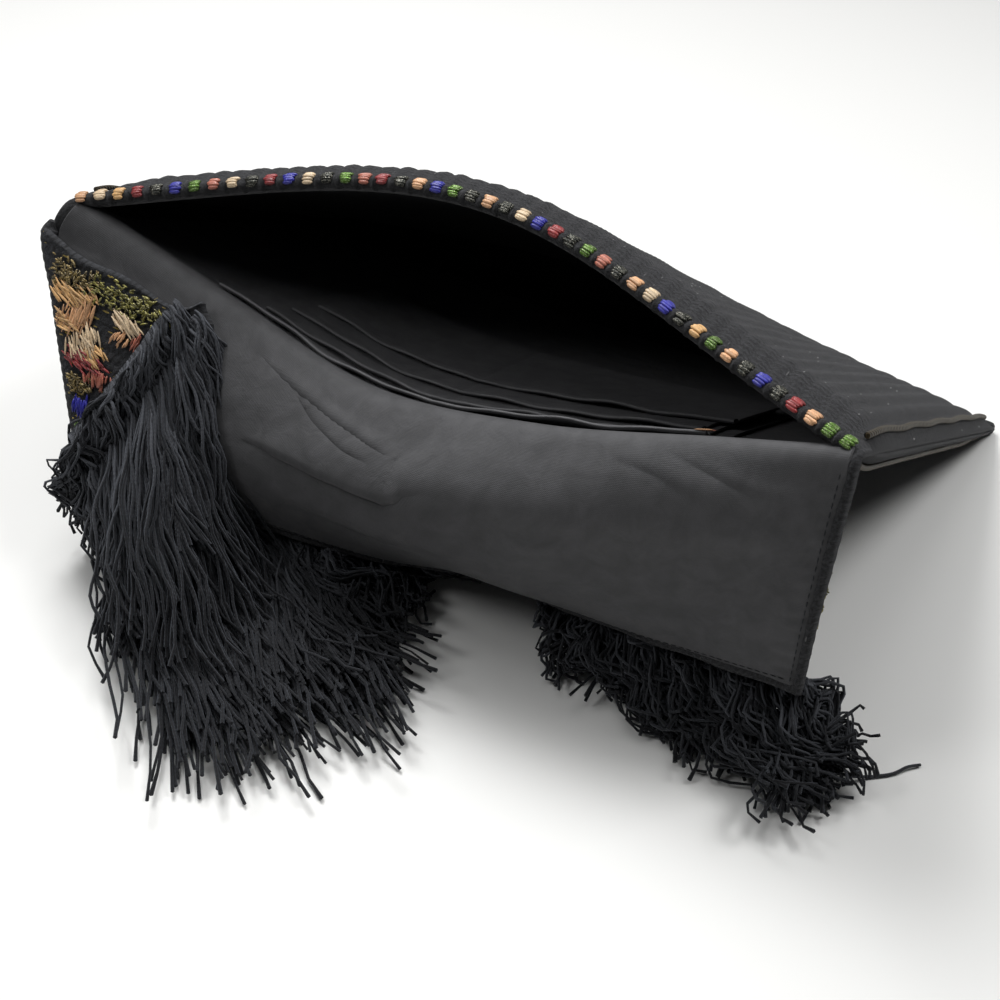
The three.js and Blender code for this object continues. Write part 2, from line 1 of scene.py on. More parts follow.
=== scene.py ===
"""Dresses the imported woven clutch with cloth, linings, card pockets, rim floats, embroidery and fringe.

All shapes are worked out in the millimetres of the clutch's own plan, as the solids are, and are moved to
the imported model's frame in metres when a mesh is made.
"""
from __future__ import annotations

import logging
import math
from dataclasses import dataclass
from enum import Enum
from typing import Callable, Sequence
import bpy
import numpy as np
from mathutils import Matrix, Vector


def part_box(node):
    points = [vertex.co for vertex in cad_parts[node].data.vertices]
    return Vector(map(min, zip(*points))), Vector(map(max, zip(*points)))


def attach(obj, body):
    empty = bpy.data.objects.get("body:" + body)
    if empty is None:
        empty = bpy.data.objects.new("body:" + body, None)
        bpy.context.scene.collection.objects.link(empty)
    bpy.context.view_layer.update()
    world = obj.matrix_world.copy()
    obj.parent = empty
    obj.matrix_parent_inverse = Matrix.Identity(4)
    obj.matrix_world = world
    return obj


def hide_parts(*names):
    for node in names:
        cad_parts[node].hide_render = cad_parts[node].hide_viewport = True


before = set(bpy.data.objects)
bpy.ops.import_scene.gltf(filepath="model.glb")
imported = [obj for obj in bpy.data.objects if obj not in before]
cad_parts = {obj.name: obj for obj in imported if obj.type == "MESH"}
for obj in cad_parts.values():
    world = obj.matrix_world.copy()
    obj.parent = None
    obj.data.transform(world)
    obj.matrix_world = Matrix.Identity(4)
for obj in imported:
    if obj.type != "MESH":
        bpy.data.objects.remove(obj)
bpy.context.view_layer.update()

LOG = logging.getLogger("woven_clutch")
Array = np.ndarray
Colour = tuple[float, float, float]
RowTable = tuple[tuple[float, float, float, float], ...]


# Tables that the solids share: the lip and the four rows of the flap, as shares of the named sizes
LIP = ((0, 0, 0), (0.21, 0.67, 0.06), (0.43, 1, -0.14), (0.65, 0.765, -0.14), (0.87, 0.28, -0.06), (1, 0, 0))
FLAP_SHOULDER: RowTable = (
    (0, -0.058, 0.089, 0.123), (0.2, 0.03, 0.11, 0.06), (0.5, 0, 0.13, 0.035), (0.8, 0.01, 0.1, 0.07),
    (1, 0, 0.055, 0.125),
)
FLAP_UPPER: RowTable = (
    (0, 0.059, 0.225, 0.329), (0.13, 0.1, 0.25, 0.26), (0.26, 0.09, 0.27, 0.19), (0.5, 0.015, 0.27, 0.15),
    (0.65, 0.03, 0.25, 0.19), (0.82, 0.03, 0.18, 0.27), (1, 0, 0.123, 0.315),
)
FLAP_BELLY: RowTable = (
    (0, 0.257, 0.455, 0.678), (0.13, 0.28, 0.46, 0.56), (0.26, 0.24, 0.43, 0.45), (0.5, 0.12, 0.35, 0.44),
    (0.65, 0.08, 0.31, 0.51), (0.82, 0.07, 0.245, 0.59), (1, 0, 0.22, 0.66),
)
FLAP_HEM: RowTable = (
    (0, 0.455, 0.685, 1.027), (0.13, 0.43, 0.56, 0.87), (0.26, 0.4, 0.42, 0.74), (0.5, 0.247, 0.137, 0.68),
    (0.65, 0.127, 0.137, 0.76), (0.82, 0.105, 0.19, 0.89), (1, 0.003, 0.274, 1.004),
)
BACK_SHARES = (1.0, 0.8, 0.6, 0.4, 0.22, 0.1)


def read_table(knots: Sequence[float], values: Sequence[float], at: Array) -> Array:
    """Reads one column of a table along a smooth curve.

    Args:
        knots: The places of the rows.
        values: The column's value in each row.
        at: The places to read.

    Returns:
        The value at each place.
    """
    rows = np.asarray(values, float)[:, None, None] * np.ones((1, np.size(at), 1))
    return read_rows(knots, rows, np.ravel(at))[:, 0].reshape(np.shape(at))


def read_rows(knots: Sequence[float], rows: Array, at: Array) -> Array:
    """Runs a smooth curve through rows of points and reads each curve at its own place.

    Args:
        knots: The place of each row.
        rows: Points, one array of them for each row.
        at: The place to read on each point's curve.

    Returns:
        The points read.
    """
    places = np.asarray(knots, float)
    slopes = np.empty_like(rows)
    slopes[0] = (rows[1] - rows[0]) / (places[1] - places[0])
    slopes[-1] = (rows[-1] - rows[-2]) / (places[-1] - places[-2])
    slopes[1:-1] = (rows[2:] - rows[:-2]) / (places[2:] - places[:-2])[:, None, None]
    i = np.clip(np.searchsorted(places, at, side="left") - 1, 0, len(places) - 2)
    n = np.arange(rows.shape[1])
    span = (places[i + 1] - places[i])[:, None]
    f = (at - places[i])[:, None] / span
    rise = rows[i + 1, n] - rows[i, n]
    cubic = (slopes[i, n] + slopes[i + 1, n]) * span - 2 * rise
    square = 3 * rise - (2 * slopes[i, n] + slopes[i + 1, n]) * span
    return rows[i, n] + f * (slopes[i, n] * span + f * (square + f * cubic))


def smooth(share: Array) -> Array:
    """Eases a share from 0 to 1 and holds it outside that range."""
    t = np.clip(share, 0, 1)
    return t * t * (3 - 2 * t)


def bell(distance: Array, width: Array | float) -> Array:
    """A soft bump of height 1 with the given half width."""
    return np.exp(-((distance / width) ** 2))


@dataclass(frozen=True)
class Crease:
    """A sharp or soft fold that runs over the flap.

    Its line is given by places on the flat cloth: millimetres from the flap's left side, and down from
    the lip.
    """

    line: tuple[tuple[float, float], ...]
    ridge: float
    groove: float
    above: float
    below: float
    fade: float

    def height(self, right: Array, down: Array) -> Array:
        """Works out how far the fold lifts the cloth.

        Args:
            right: Millimetres from the flap's left side.
            down: Millimetres from the lip.

        Returns:
            The lift in millimetres.
        """
        nearest = np.full(np.shape(right), 1e9)
        side = np.zeros(np.shape(right))
        place = np.zeros(np.shape(right))
        points = np.array(self.line)
        steps = np.hypot(*(points[1:] - points[:-1]).T)
        total = steps.sum()
        walked = 0.0
        for start, end, step in zip(points[:-1], points[1:], steps):
            along = (end - start) / step
            t = np.clip((right - start[0]) * along[0] + (down - start[1]) * along[1], 0, step)
            dx, dy = right - start[0] - t * along[0], down - start[1] - t * along[1]
            distance = np.hypot(dx, dy)
            closer = distance < nearest
            nearest = np.where(closer, distance, nearest)
            side = np.where(closer, np.sign(along[0] * dy - along[1] * dx) * distance, side)
            place = np.where(closer, (walked + t) / total, place)
            walked += step
        lift = self.ridge * bell(side, np.where(side < 0, self.above, self.below))
        lift = lift - self.groove * bell(side - 1.1 * self.below, 0.8 * self.below)
        ends = smooth(place / self.fade) * smooth((1 - place) / self.fade)
        return lift * ends


@dataclass(frozen=True)
class ClutchShape:
    """The clutch's cloth surfaces in its own plan, in millimetres."""

    body_width: float = 290.0
    body_length: float = 179.0
    mouth_chord: float = 271.6
    left_height: float = 98.0
    right_height: float = 103.3
    rim_rise: float = 32.7
    rim_setback: float = 20.0
    rim_lean: float = 0.015
    lip_sag: float = 34.5
    front_pillow: float = 6.5
    back_pillow: float = 4.5
    flap_length: float = 73.0
    ear_start: float = 10.0
    ear_width: float = 69.0
    bottom_radius: float = 2.5
    ear_height: float = 4.1
    creases: tuple[Crease, ...] = (
        Crease(((96, 36), (103, 33.5), (119, 30.7), (137, 29.8), (150, 30.2), (157, 30.4), (161, 28.5),
                (163, 26), (170, 23)), 2.0, 4.5, 9.0, 1.3, 0.3),
        Crease(((80, 7.5), (92, 9), (111, 10.8), (133, 13.8), (154, 18)), 0.6, 0.6, 3.0, 0.6, 0.25),
        Crease(((98, 9), (116, 15), (134, 19), (150, 21)), 0.5, 0.3, 4.0, 1.0, 0.3),
        Crease(((150, 28), (172, 26), (198, 24), (220, 22.5), (250, 22), (288, 22)), 2.6, 0.0, 13.0, 8.0,
               0.12),
        Crease(((110, 50), (160, 52), (220, 50), (288, 50)), -2.2, 0.0, 12.0, 12.0, 0.15),
        Crease(((196, 34), (206, 33), (216, 34)), 0.9, 0.0, 3.0, 3.0, 0.4),
        Crease(((214, 4), (236, 9), (262, 18)), 0.5, 0.3, 4.0, 1.6, 0.35),
        Crease(((232, 2), (252, 8), (272, 14)), 0.4, 0.3, 3.0, 1.2, 0.35),
        Crease(((112, 46), (140, 44), (172, 41), (204, 44)), 1.0, 0.3, 5.0, 3.5, 0.3),
        Crease(((60, 12), (78, 22), (92, 34)), 0.7, 0.3, 5.0, 2.0, 0.35),
    )

    @property
    def mouth_height(self) -> float:
        """Height of the middle of the mouth's straight line."""
        return (self.left_height + self.right_height) / 2

    @property
    def reach(self) -> float:
        """How far behind the mouth the bottom edge lies."""
        return math.sqrt(self.body_length ** 2 - (self.mouth_height - self.bottom_radius) ** 2)

    @property
    def down_slope(self) -> Array:
        """Direction from the mouth down to the bottom edge."""
        way = np.array([0.0, self.reach, self.bottom_radius - self.mouth_height])
        return way / np.linalg.norm(way)

    @property
    def body_normal(self) -> Array:
        """Direction out of the front panel."""
        slope = self.down_slope
        return np.array([0.0, -slope[2], slope[1]])

    def mouth(self, across: Array) -> Array:
        """Points on the straight line between the mouth's corners."""
        height = self.left_height + (self.right_height - self.left_height) * across
        return np.stack([(across - 0.5) * self.mouth_chord, 0 * across, height], -1)

    def bottom(self, across: Array) -> Array:
        """Points on the bottom edge's centre line.

        Args:
            across: Shares from the left seam to the right seam.

        Returns:
            The points.
        """
        level = np.ones_like(across)
        columns = [(across - 0.5) * self.body_width, self.reach * level, self.bottom_radius * level]
        return np.stack(columns, -1)

    def sag(self, across: Array) -> Array:
        """How the lip leaves the straight line between the corners.

        Args:
            across: Shares from the left seam to the right seam.

        Returns:
            Shifts in millimetres.
        """
        at, drop, back = np.array(LIP, float).T
        shift = np.zeros(across.shape + (3,))
        shift[..., 1] = read_table(at, back, across) * self.lip_sag
        shift[..., 2] = -read_table(at, drop, across) * self.lip_sag
        return shift

    def pillow(self, across: Array, share: Array) -> Array:
        """The share of its pillow by which a panel stands off the pouch's flat middle."""
        edge = 1 - np.abs(2 * across - 1) ** 16
        return edge * smooth(share / 0.1) * (1 - share ** 10)

    def back(self, across: Array, share: Array) -> Array:
        """Points of the back panel.

        Args:
            across: Shares from the left seam to the right seam.
            share: Shares of the way from the lip to the bottom edge.

        Returns:
            The points.
        """
        s = share[..., None]
        point = self.mouth(across) * (1 - s) + self.bottom(across) * s + self.sag(across) * (1 - s) ** 1.2
        return point - self.back_pillow * self.pillow(across, share)[..., None] * self.body_normal

    def front(self, across: Array, length: Array) -> Array:
        """Points of the front panel.

        Args:
            across: Shares from the left seam to the right seam.
            length: Millimetres down from the rim.

        Returns:
            The points.
        """
        share = np.clip(length / self.body_length, 0, 1)
        s = share[..., None]
        wave = [np.sin(count * np.pi * across)[..., None] for count in (1, 2, 3)]
        rise = self.rim_rise * (wave[0] + 0.078 * wave[1] - 0.056 * wave[2]) * (1 - s) ** 0.6
        point = self.mouth(across) * (1 - s) + self.bottom(across) * s
        point = point + np.array([self.rim_lean * self.mouth_chord, 0, 0]) * wave[0] * (1 - s)
        point = point + self.down_slope * self.rim_setback * wave[0] * (1 - s)
        puff = rise + self.front_pillow * self.pillow(across, share)[..., None]
        return point + self.body_normal * puff

    def flap_row(self, table: RowTable, across: Array) -> Array:
        """Points of one of the flap's rows, from its table.

        Args:
            table: The row's table.
            across: Shares from the left seam to the right seam.

        Returns:
            The points.
        """
        at, right, forward, drop = np.array(table, float).T
        columns = [read_table(at, values, across) for values in (right, -forward, -drop)]
        return np.stack(columns, -1) * self.flap_length + self.mouth(across) + self.sag(across)

    def sheet(self, across: Array, run: Array) -> Array:
        """Points of the back panel and the flap, which are one cloth.

        Args:
            across: Shares from the left side, or on the flap from the fold's crease, to the right side.
            run: Millimetres from the lip: below 0 into the pouch, and above 0 down the flap.

        Returns:
            The points.
        """
        a, r = (np.ravel(x).astype(float) for x in np.broadcast_arrays(across, run))
        rows = [self.back(a, np.full_like(a, share)) for share in BACK_SHARES]
        rows.append(self.mouth(a) + self.sag(a))
        rows += [self.flap_row(table, a) for table in (FLAP_SHOULDER, FLAP_UPPER, FLAP_BELLY, FLAP_HEM)]
        flap = self.flap_length
        knots = [-share * self.body_length for share in BACK_SHARES]
        knots += [0, self.ear_start, flap / 3, 2 * flap / 3, flap]
        return read_rows(knots, np.array(rows), r).reshape(np.broadcast(across, run).shape + (3,))

    def crease_at(self, down: Array) -> Array:
        """How far the folded corner's crease lies from the flap's left side."""
        return self.ear_width * np.maximum(0, down - self.ear_start) / (self.flap_length - self.ear_start)

    def flat_right(self, across: Array, run: Array) -> Array:
        """Millimetres from the cloth's left side at a share across."""
        crease = self.crease_at(run)
        return crease + across * (self.body_width - crease)

    def folds(self, across: Array, run: Array) -> Array:
        """How far the flap's folds and its soft waves lift the laid cloth.

        Args:
            across: Shares from the left seam to the right seam.
            run: Millimetres from the lip: below 0 into the pouch, above 0 down the flap.

        Returns:
            The lift in millimetres.
        """
        right = self.flat_right(across, run)
        lift = sum(crease.height(right, run) for crease in self.creases)
        waves = 0.5 * np.sin(right / 17 + run / 23) * np.sin(right / 31 - run / 13 + 1.1)
        waves = waves + 0.25 * np.sin(right / 7.3 - run / 19) * np.sin(run / 11 + right / 43)
        on_flap = smooth(run / 12) * smooth((self.flap_length + 2 - run) / 10) * smooth(across / 0.03)
        return (lift + waves) * on_flap * smooth((1 - across) / 0.04)

    def ear(self, right: Array, down: Array) -> Array:
        """Points of the folded corner, which lies over the place mirrored in its crease.

        Args:
            right: Millimetres from the flap's left side, on the flat cloth.
            down: Millimetres from the lip, on the flat cloth.

        Returns:
            The points of the flap's own surface under it.
        """
        height = self.flap_length - self.ear_start
        length = math.hypot(self.ear_width, height)
        over, under = self.ear_width / length, height / length
        along = right * over + (down - self.ear_start) * under
        mirrored_right = 2 * along * over - right
        mirrored_down = self.ear_start + 2 * along * under - (down - self.ear_start)
        crease = self.crease_at(mirrored_down)
        return self.sheet((mirrored_right - crease) / (self.body_width - crease), mirrored_down)


def surface_normal(surface: Callable[[Array, Array], Array], a: Array, b: Array, da: float,
                   db: float) -> Array:
    """Works out a surface's normal from small steps.

    Args:
        surface: The surface's function.
        a: First coordinates.
        b: Second coordinates.
        da: Step in the first coordinate.
        db: Step in the second coordinate.

    Returns:
        Unit normals.
    """
    normal = np.cross(surface(a + da, b) - surface(a - da, b), surface(a, b + db) - surface(a, b - db))
    return normal / np.linalg.norm(normal, axis=-1, keepdims=True)


@dataclass
class Patch:
    """A grid of points on a cloth's middle surface, with its normals and its flat coordinates."""

    points: Array
    normals: Array
    right: Array
    down: Array

    def lifted(self, lift: Array) -> "Patch":
        """Moves the surface along its normals and works out the new normals.

        Args:
            lift: Millimetres for each point.

        Returns:
            The moved patch.
        """
        points = self.points + self.normals * lift[..., None]
        normal = np.cross(np.gradient(points, axis=1), np.gradient(points, axis=0))
        normal /= np.linalg.norm(normal, axis=-1, keepdims=True)
        normal *= np.sign((normal * self.normals).sum(-1, keepdims=True))
        return Patch(points, normal, self.right, self.down)


SHAPE = ClutchShape()


def sheet_patch(columns: Array, rows: Array) -> Patch:
    """A patch of the back panel and flap, with its folds, whose normals point to the lining's side.

    Args:
        columns: Shares across.
        rows: Millimetres from the lip, from the hem's end to the bottom's end.

    Returns:
        The patch.
    """
    a, r = np.meshgrid(columns, rows)
    normals = surface_normal(SHAPE.sheet, a, r, -0.002, 0.4)
    patch = Patch(SHAPE.sheet(a, r), normals, SHAPE.flat_right(a, r), r)
    return patch.lifted(SHAPE.folds(a, r))


def front_patch(columns: Array, lengths: Array) -> Patch:
    """A patch of the front panel, whose normals point outwards.

    Args:
        columns: Shares across.
        lengths: Millimetres down from the rim.

    Returns:
        The patch.
    """
    a, l = np.meshgrid(columns, lengths)
    normals = surface_normal(SHAPE.front, a, np.minimum(l, SHAPE.body_length - 0.5), 0.002, 0.4)
    return Patch(SHAPE.front(a, l), normals, a * SHAPE.body_width, l)


def corner_edge(towards: Array) -> Array:
    """How far the corner's free edge is rolled in, as a share of the way to the hem.

    Args:
        towards: Shares from the crease towards the corner's point.

    Returns:
        The shares along.
    """
    rolled = 6.0 * np.sin(np.pi * towards) * (1 + 0.3 * np.sin(10 * towards + 0.6))
    return np.clip(rolled / (SHAPE.ear_width * (1.02 - towards)), 0, 0.6)


def ear_patch(along: Array, towards: Array) -> Patch:
    """A patch of the folded corner, whose normals point to the cloth's own outer face.

    Args:
        along: Shares along the crease, from the flap's side to its hem.
        towards: Shares from the crease towards the corner's point.

    Returns:
        The patch.
    """
    u, v = np.meshgrid(along, towards)
    edge = corner_edge(v)
    u = edge + (1 - edge) * u
    right = u * SHAPE.ear_width * (1 - v)
    down = SHAPE.ear_start + (SHAPE.flap_length - SHAPE.ear_start) * (u + (1 - u) * v)
    return Patch(SHAPE.ear(right, down), surface_normal(SHAPE.ear, right, down, 0.4, 0.4), right, down)


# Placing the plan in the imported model's frame
SHELL_LOW, SHELL_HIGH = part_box("woven_shell")
PLAN_SHIFT = np.array([
    500 * (SHELL_LOW.x + SHELL_HIGH.x),
    1000 * SHELL_HIGH.y - SHAPE.reach - SHAPE.bottom_radius,
    1000 * SHELL_LOW.z,
])


def to_frame(points: Array) -> Array:
    """Turns the plan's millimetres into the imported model's metres."""
    return (points + PLAN_SHIFT) / 1000


def new_piece(name: str, mesh: bpy.types.Mesh) -> bpy.types.Object:
    """Adds an object for a mesh, a light or a camera to the scene.

    Args:
        name: The object's name.
        mesh: Its data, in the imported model's frame.

    Returns:
        The object.
    """
    piece = bpy.data.objects.new(name, mesh)
    bpy.context.scene.collection.objects.link(piece)
    return piece


def mesh_of(name: str, points: Array, quads: Array, uv: Array | None = None) -> bpy.types.Mesh:
    """Makes a mesh from arrays.

    Args:
        name: The mesh's name.
        points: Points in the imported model's frame.
        quads: Four point numbers for each face.
        uv: Flat coordinates of each point, or None.

    Returns:
        The smooth-shaded mesh.
    """
    mesh = bpy.data.meshes.new(name)
    mesh.vertices.add(len(points))
    mesh.vertices.foreach_set("co", np.asarray(points, np.float32).ravel())
    mesh.loops.add(quads.size)
    mesh.loops.foreach_set("vertex_index", quads.astype(np.int32).ravel())
    mesh.polygons.add(len(quads))
    mesh.polygons.foreach_set("loop_start", np.arange(0, quads.size, 4, dtype=np.int32))
    mesh.update(calc_edges=True)
    mesh.polygons.foreach_set("use_smooth", np.ones(len(quads), bool))
    if uv is not None:
        layer = mesh.uv_layers.new(name="Cloth")
        layer.data.foreach_set("uv", uv[quads.ravel()].astype(np.float32).ravel())
    mesh.validate()
    return mesh


def cloth_mesh(name: str, patch: Patch, low: Array | float, high: Array | float,
               sharp: float = 50.0) -> bpy.types.Mesh:
    """Makes a closed sheet of cloth over a patch, with rounded edges.

    Args:
        name: The mesh's name.
        patch: The cloth's middle surface.
        low: Height of its under face along the normals.
        high: Height of its upper face.
        sharp: Angle in degrees above which an edge is drawn sharp.

    Returns:
        The mesh, with its flat coordinates in centimetres as UVs.
    """
    rows, columns = patch.points.shape[:2]
    low_heights = np.broadcast_to(low, (rows, columns))
    high_heights = np.broadcast_to(high, (rows, columns))
    under = patch.points + patch.normals * low_heights[..., None]
    over = patch.points + patch.normals * high_heights[..., None]
    number = np.arange(rows * columns).reshape(rows, columns)
    a, b, c, d = number[:-1, :-1], number[:-1, 1:], number[1:, 1:], number[1:, :-1]
    top = np.stack([a, b, c, d], -1).reshape(-1, 4) + rows * columns
    bottom = np.stack([a, d, c, b], -1).reshape(-1, 4)
    ring = np.concatenate([number[0, :], number[1:, -1], number[-1, -2::-1], number[-2:0:-1, 0]])
    middle = (under + over).reshape(-1, 3)[ring] / 2
    thick = (high_heights - low_heights).ravel()[ring]
    ahead = np.roll(middle, -1, 0) - np.roll(middle, 1, 0)
    outwards = np.cross(ahead, patch.normals.reshape(-1, 3)[ring])
    outwards /= np.maximum(np.linalg.norm(outwards, axis=-1, keepdims=True), 1e-9)
    middle = middle + outwards * (0.35 * np.abs(thick))[:, None]
    extra = 2 * rows * columns + np.arange(len(ring))
    after = np.roll(ring, -1)
    far = np.roll(extra, -1)
    lower = np.stack([ring, after, far, extra], -1)
    upper = np.stack([extra, far, after + rows * columns, ring + rows * columns], -1)
    points = np.concatenate([under.reshape(-1, 3), over.reshape(-1, 3), middle])
    flat = np.stack([patch.right.ravel(), patch.down.ravel()], -1) / 10
    uv = np.concatenate([flat, flat, flat[ring]])
    mesh = mesh_of(name, to_frame(points), np.concatenate([top, bottom, lower, upper]), uv)
    mesh.set_sharp_from_angle(angle=math.radians(sharp))
    return mesh


def rod_mesh(name: str, points: Array, radius: Array | float, sides: int,
             up: Array | None = None) -> bpy.types.Mesh:
    """Makes a closed round rod along points.

    Args:
        name: The mesh's name.
        points: The rod's centre line in the plan.
        radius: One radius, or one for each point.
        sides: Number of sides.
        up: A direction that no part of the rod runs along.

    Returns:
        The mesh, with its UVs in centimetres along and shares around.
    """
    guide = np.array([0.0, 0.0, 1.0]) if up is None else up
    along = np.gradient(points, axis=0)
    along /= np.linalg.norm(along, axis=-1, keepdims=True)
    side = np.cross(along, guide)
    side /= np.linalg.norm(side, axis=-1, keepdims=True)
    over = np.cross(side, along)
    angle = np.arange(sides) / sides * 2 * np.pi
    size = np.broadcast_to(radius, len(points))[:, None, None]
    rings = points[:, None] + size * (side[:, None] * np.cos(angle)[None, :, None]
                                      + over[:, None] * np.sin(angle)[None, :, None])
    caps = [points[:1], points[-1:]]
    number = np.arange(len(points) * sides).reshape(len(points), sides)
    after = np.roll(number, -1, 1)
    walls = np.stack([number[:-1], number[1:], after[1:], after[:-1]], -1).reshape(-1, 4)
    first, last = len(points) * sides, len(points) * sides + 1
    half = np.arange(0, sides, 2)
    near = np.stack([np.full(len(half), first), number[0, half], number[0, (half + 1) % sides],
                     number[0, (half + 2) % sides]], -1)
    end = np.stack([np.full(len(half), last), number[-1, (half + 2) % sides], number[-1, (half + 1) % sides],
                    number[-1, half]], -1)
    walked = np.concatenate([[0], np.cumsum(np.linalg.norm(np.diff(points, axis=0), axis=-1))]) / 10
    uv = np.stack([np.repeat(walked, sides), np.tile(np.arange(sides) / sides, len(points))], -1)
    uv = np.concatenate([uv, [[walked[0], 0], [walked[-1], 0]]])
    mesh = mesh_of(name, to_frame(np.concatenate([rings.reshape(-1, 3), *caps])),
                   np.concatenate([walls, near, end]), uv)
    mesh.set_sharp_from_angle(angle=math.radians(60))
    return mesh


class Nodes:
    """A short way to build a node tree."""

    def __init__(self, tree: bpy.types.NodeTree) -> None:
        """Starts on an empty tree."""
        self.tree = tree
        tree.nodes.clear()

    def add(self, kind: str, inputs: dict[str | int, object] | None = None,
            **settings: object) -> bpy.types.Node:
        """Adds a node.

        Args:
            kind: The node's type name.
            inputs: Values or output sockets for its inputs, by name or number.
            settings: Its other properties.

        Returns:
            The node.
        """
        node = self.tree.nodes.new(kind)
        for key, value in settings.items():
            setattr(node, key, value)
        for key, value in (inputs or {}).items():
            if isinstance(value, bpy.types.NodeSocket):
                self.tree.links.new(value, node.inputs[key])
            else:
                node.inputs[key].default_value = value
        return node

    def maths(self, operation: str, first: object, second: object = 0.0) -> bpy.types.NodeSocket:
        """Adds a Math node and returns its result."""
        return self.add("ShaderNodeMath", {0: first, 1: second}, operation=operation).outputs[0]

    def blend(self, share: object, first: object, second: object) -> bpy.types.NodeSocket:
        """Adds a colour mix and returns its result."""
        node = self.add("ShaderNodeMix", {0: share, 6: first, 7: second}, data_type="RGBA")
        return node.outputs[2]

    def ramp(self, value: object, start: float, end: float) -> bpy.types.NodeSocket:
        """Maps a range to 0 to 1 and returns the result."""
        return self.add("ShaderNodeMapRange", {0: value, 1: start, 2: end}).outputs[0]


def rgba(colour: Colour) -> tuple[float, float, float, float]:
    """A colour with full alpha."""
    return (*colour, 1.0)


@dataclass(frozen=True)
class Finish:
    """What every finish has: a name, a colour and the cloth's way with light."""

    name: str
    colour: Colour
    roughness: float = 0.9
    sheen: float = 0.3
    sheen_colour: Colour = (0.5, 0.55, 0.65)
    specular: float = 0.3
    metallic: float = 0.0

    def material(self) -> bpy.types.Material:
        """Builds the finish's material.

        Returns:
            The material, made once for each name.
        """
        made = bpy.data.materials.get(self.name)
        if made is not None:
            return made
        made = bpy.data.materials.new(self.name)
        made.use_nodes = True
        made.diffuse_color = rgba(self.colour)
        nodes = Nodes(made.node_tree)
        shader = nodes.add("ShaderNodeBsdfPrincipled", {
            "Base Color": rgba(self.colour), "Roughness": self.roughness, "Metallic": self.metallic,
            "Specular IOR Level": self.specular, "Sheen Weight": self.sheen, "Sheen Roughness": 0.5,
            "Sheen Tint": rgba(self.sheen_colour),
        })
        self.detail(nodes, shader)
        output = nodes.add("ShaderNodeOutputMaterial")
        made.node_tree.links.new(shader.outputs[0], output.inputs[0])
        return made

    def detail(self, nodes: Nodes, shader: bpy.types.Node) -> None:
        """Adds the finish's own colour changes and bumps."""

    def bump(self, nodes: Nodes, shader: bpy.types.Node, height: object, strength: float,
             depth: float) -> None:
        """Joins a height to the shader's normal.

        Args:
            nodes: The tree.
            shader: The shader node.
            height: The height's socket.
            strength: Share of the bump that shows.
            depth: The bump's depth in metres.
        """
        node = nodes.add("ShaderNodeBump", {"Strength": strength, "Distance": depth, "Height": height})
        nodes.tree.links.new(node.outputs[0], shader.inputs["Normal"])

    def paint(self, nodes: Nodes, shader: bpy.types.Node, colour: bpy.types.NodeSocket) -> None:
        """Joins a colour to the shader's base colour."""
        nodes.tree.links.new(colour, shader.inputs["Base Color"])


@dataclass(frozen=True)
class RibbedWeave(Finish):
    """Matte black woven ribs with fuzz and a few silver lurex threads."""

    lint: Colour = (0.05, 0.051, 0.056)
    lurex: Colour = (0.13, 0.13, 0.13)
    lurex_share: float = 0.1
    lurex_width: float = 0.2
    rib_pitch: float = 0.644

    def detail(self, nodes: Nodes, shader: bpy.types.Node) -> None:
        """Adds the weave's picks, its fuzz and the lurex glints.

        Args:
            nodes: The material's nodes.
            shader: Its shader node.
        """
        flat = nodes.add("ShaderNodeUVMap", uv_map="Cloth").outputs[0]
        parts = nodes.add("ShaderNodeSeparateXYZ", {0: flat})
        across, down = parts.outputs[0], parts.outputs[1]
        rib = nodes.maths("FLOOR", nodes.maths("DIVIDE", across, self.rib_pitch))
        turned = nodes.maths("MULTIPLY", nodes.maths("MODULO", rib, 2.0), math.pi)
        sway = nodes.add("ShaderNodeTexNoise", {"Vector": flat, "Scale": 3.0, "Detail": 2.0})
        offset = nodes.maths("ADD", turned, nodes.maths("MULTIPLY", sway.outputs[0], 5.0))
        wave = nodes.maths("MULTIPLY", down, 2 * math.pi / 0.21)
        picks = nodes.maths("SINE", nodes.maths("ADD", wave, offset))
        fuzz = nodes.add("ShaderNodeTexNoise",
                         {"Vector": flat, "Scale": 11.0, "Detail": 7.0, "Roughness": 0.75})
        height = nodes.maths("ADD", nodes.maths("MULTIPLY", picks, 0.3),
                             nodes.maths("MULTIPLY", fuzz.outputs[0], 3.2))
        self.bump(nodes, shader, height, 0.75, 0.0005)
        stretched = nodes.add("ShaderNodeMapping", {"Vector": flat, "Scale": (9.0, 2.4, 1.0)})
        cells = nodes.add("ShaderNodeTexVoronoi",
                          {"Vector": stretched.outputs[0], "Scale": 1.0, "Randomness": 0.85})
        chosen = nodes.add("ShaderNodeSeparateColor", {0: cells.outputs["Color"]})
        near = nodes.maths("LESS_THAN", cells.outputs["Distance"], self.lurex_width)
        glint = nodes.maths("MULTIPLY", near, nodes.maths("LESS_THAN", chosen.outputs[0], self.lurex_share))
        grey = nodes.blend(nodes.ramp(fuzz.outputs[0], 0.42, 0.66), rgba(self.colour), rgba(self.lint))
        self.paint(nodes, shader, nodes.blend(glint, grey, rgba(self.lurex)))
        nodes.tree.links.new(nodes.maths("MULTIPLY", glint, 0.8), shader.inputs["Metallic"])
        shine = nodes.add("ShaderNodeMapRange", {0: glint, 3: self.roughness, 4: 0.35})
        nodes.tree.links.new(shine.outputs[0], shader.inputs["Roughness"])


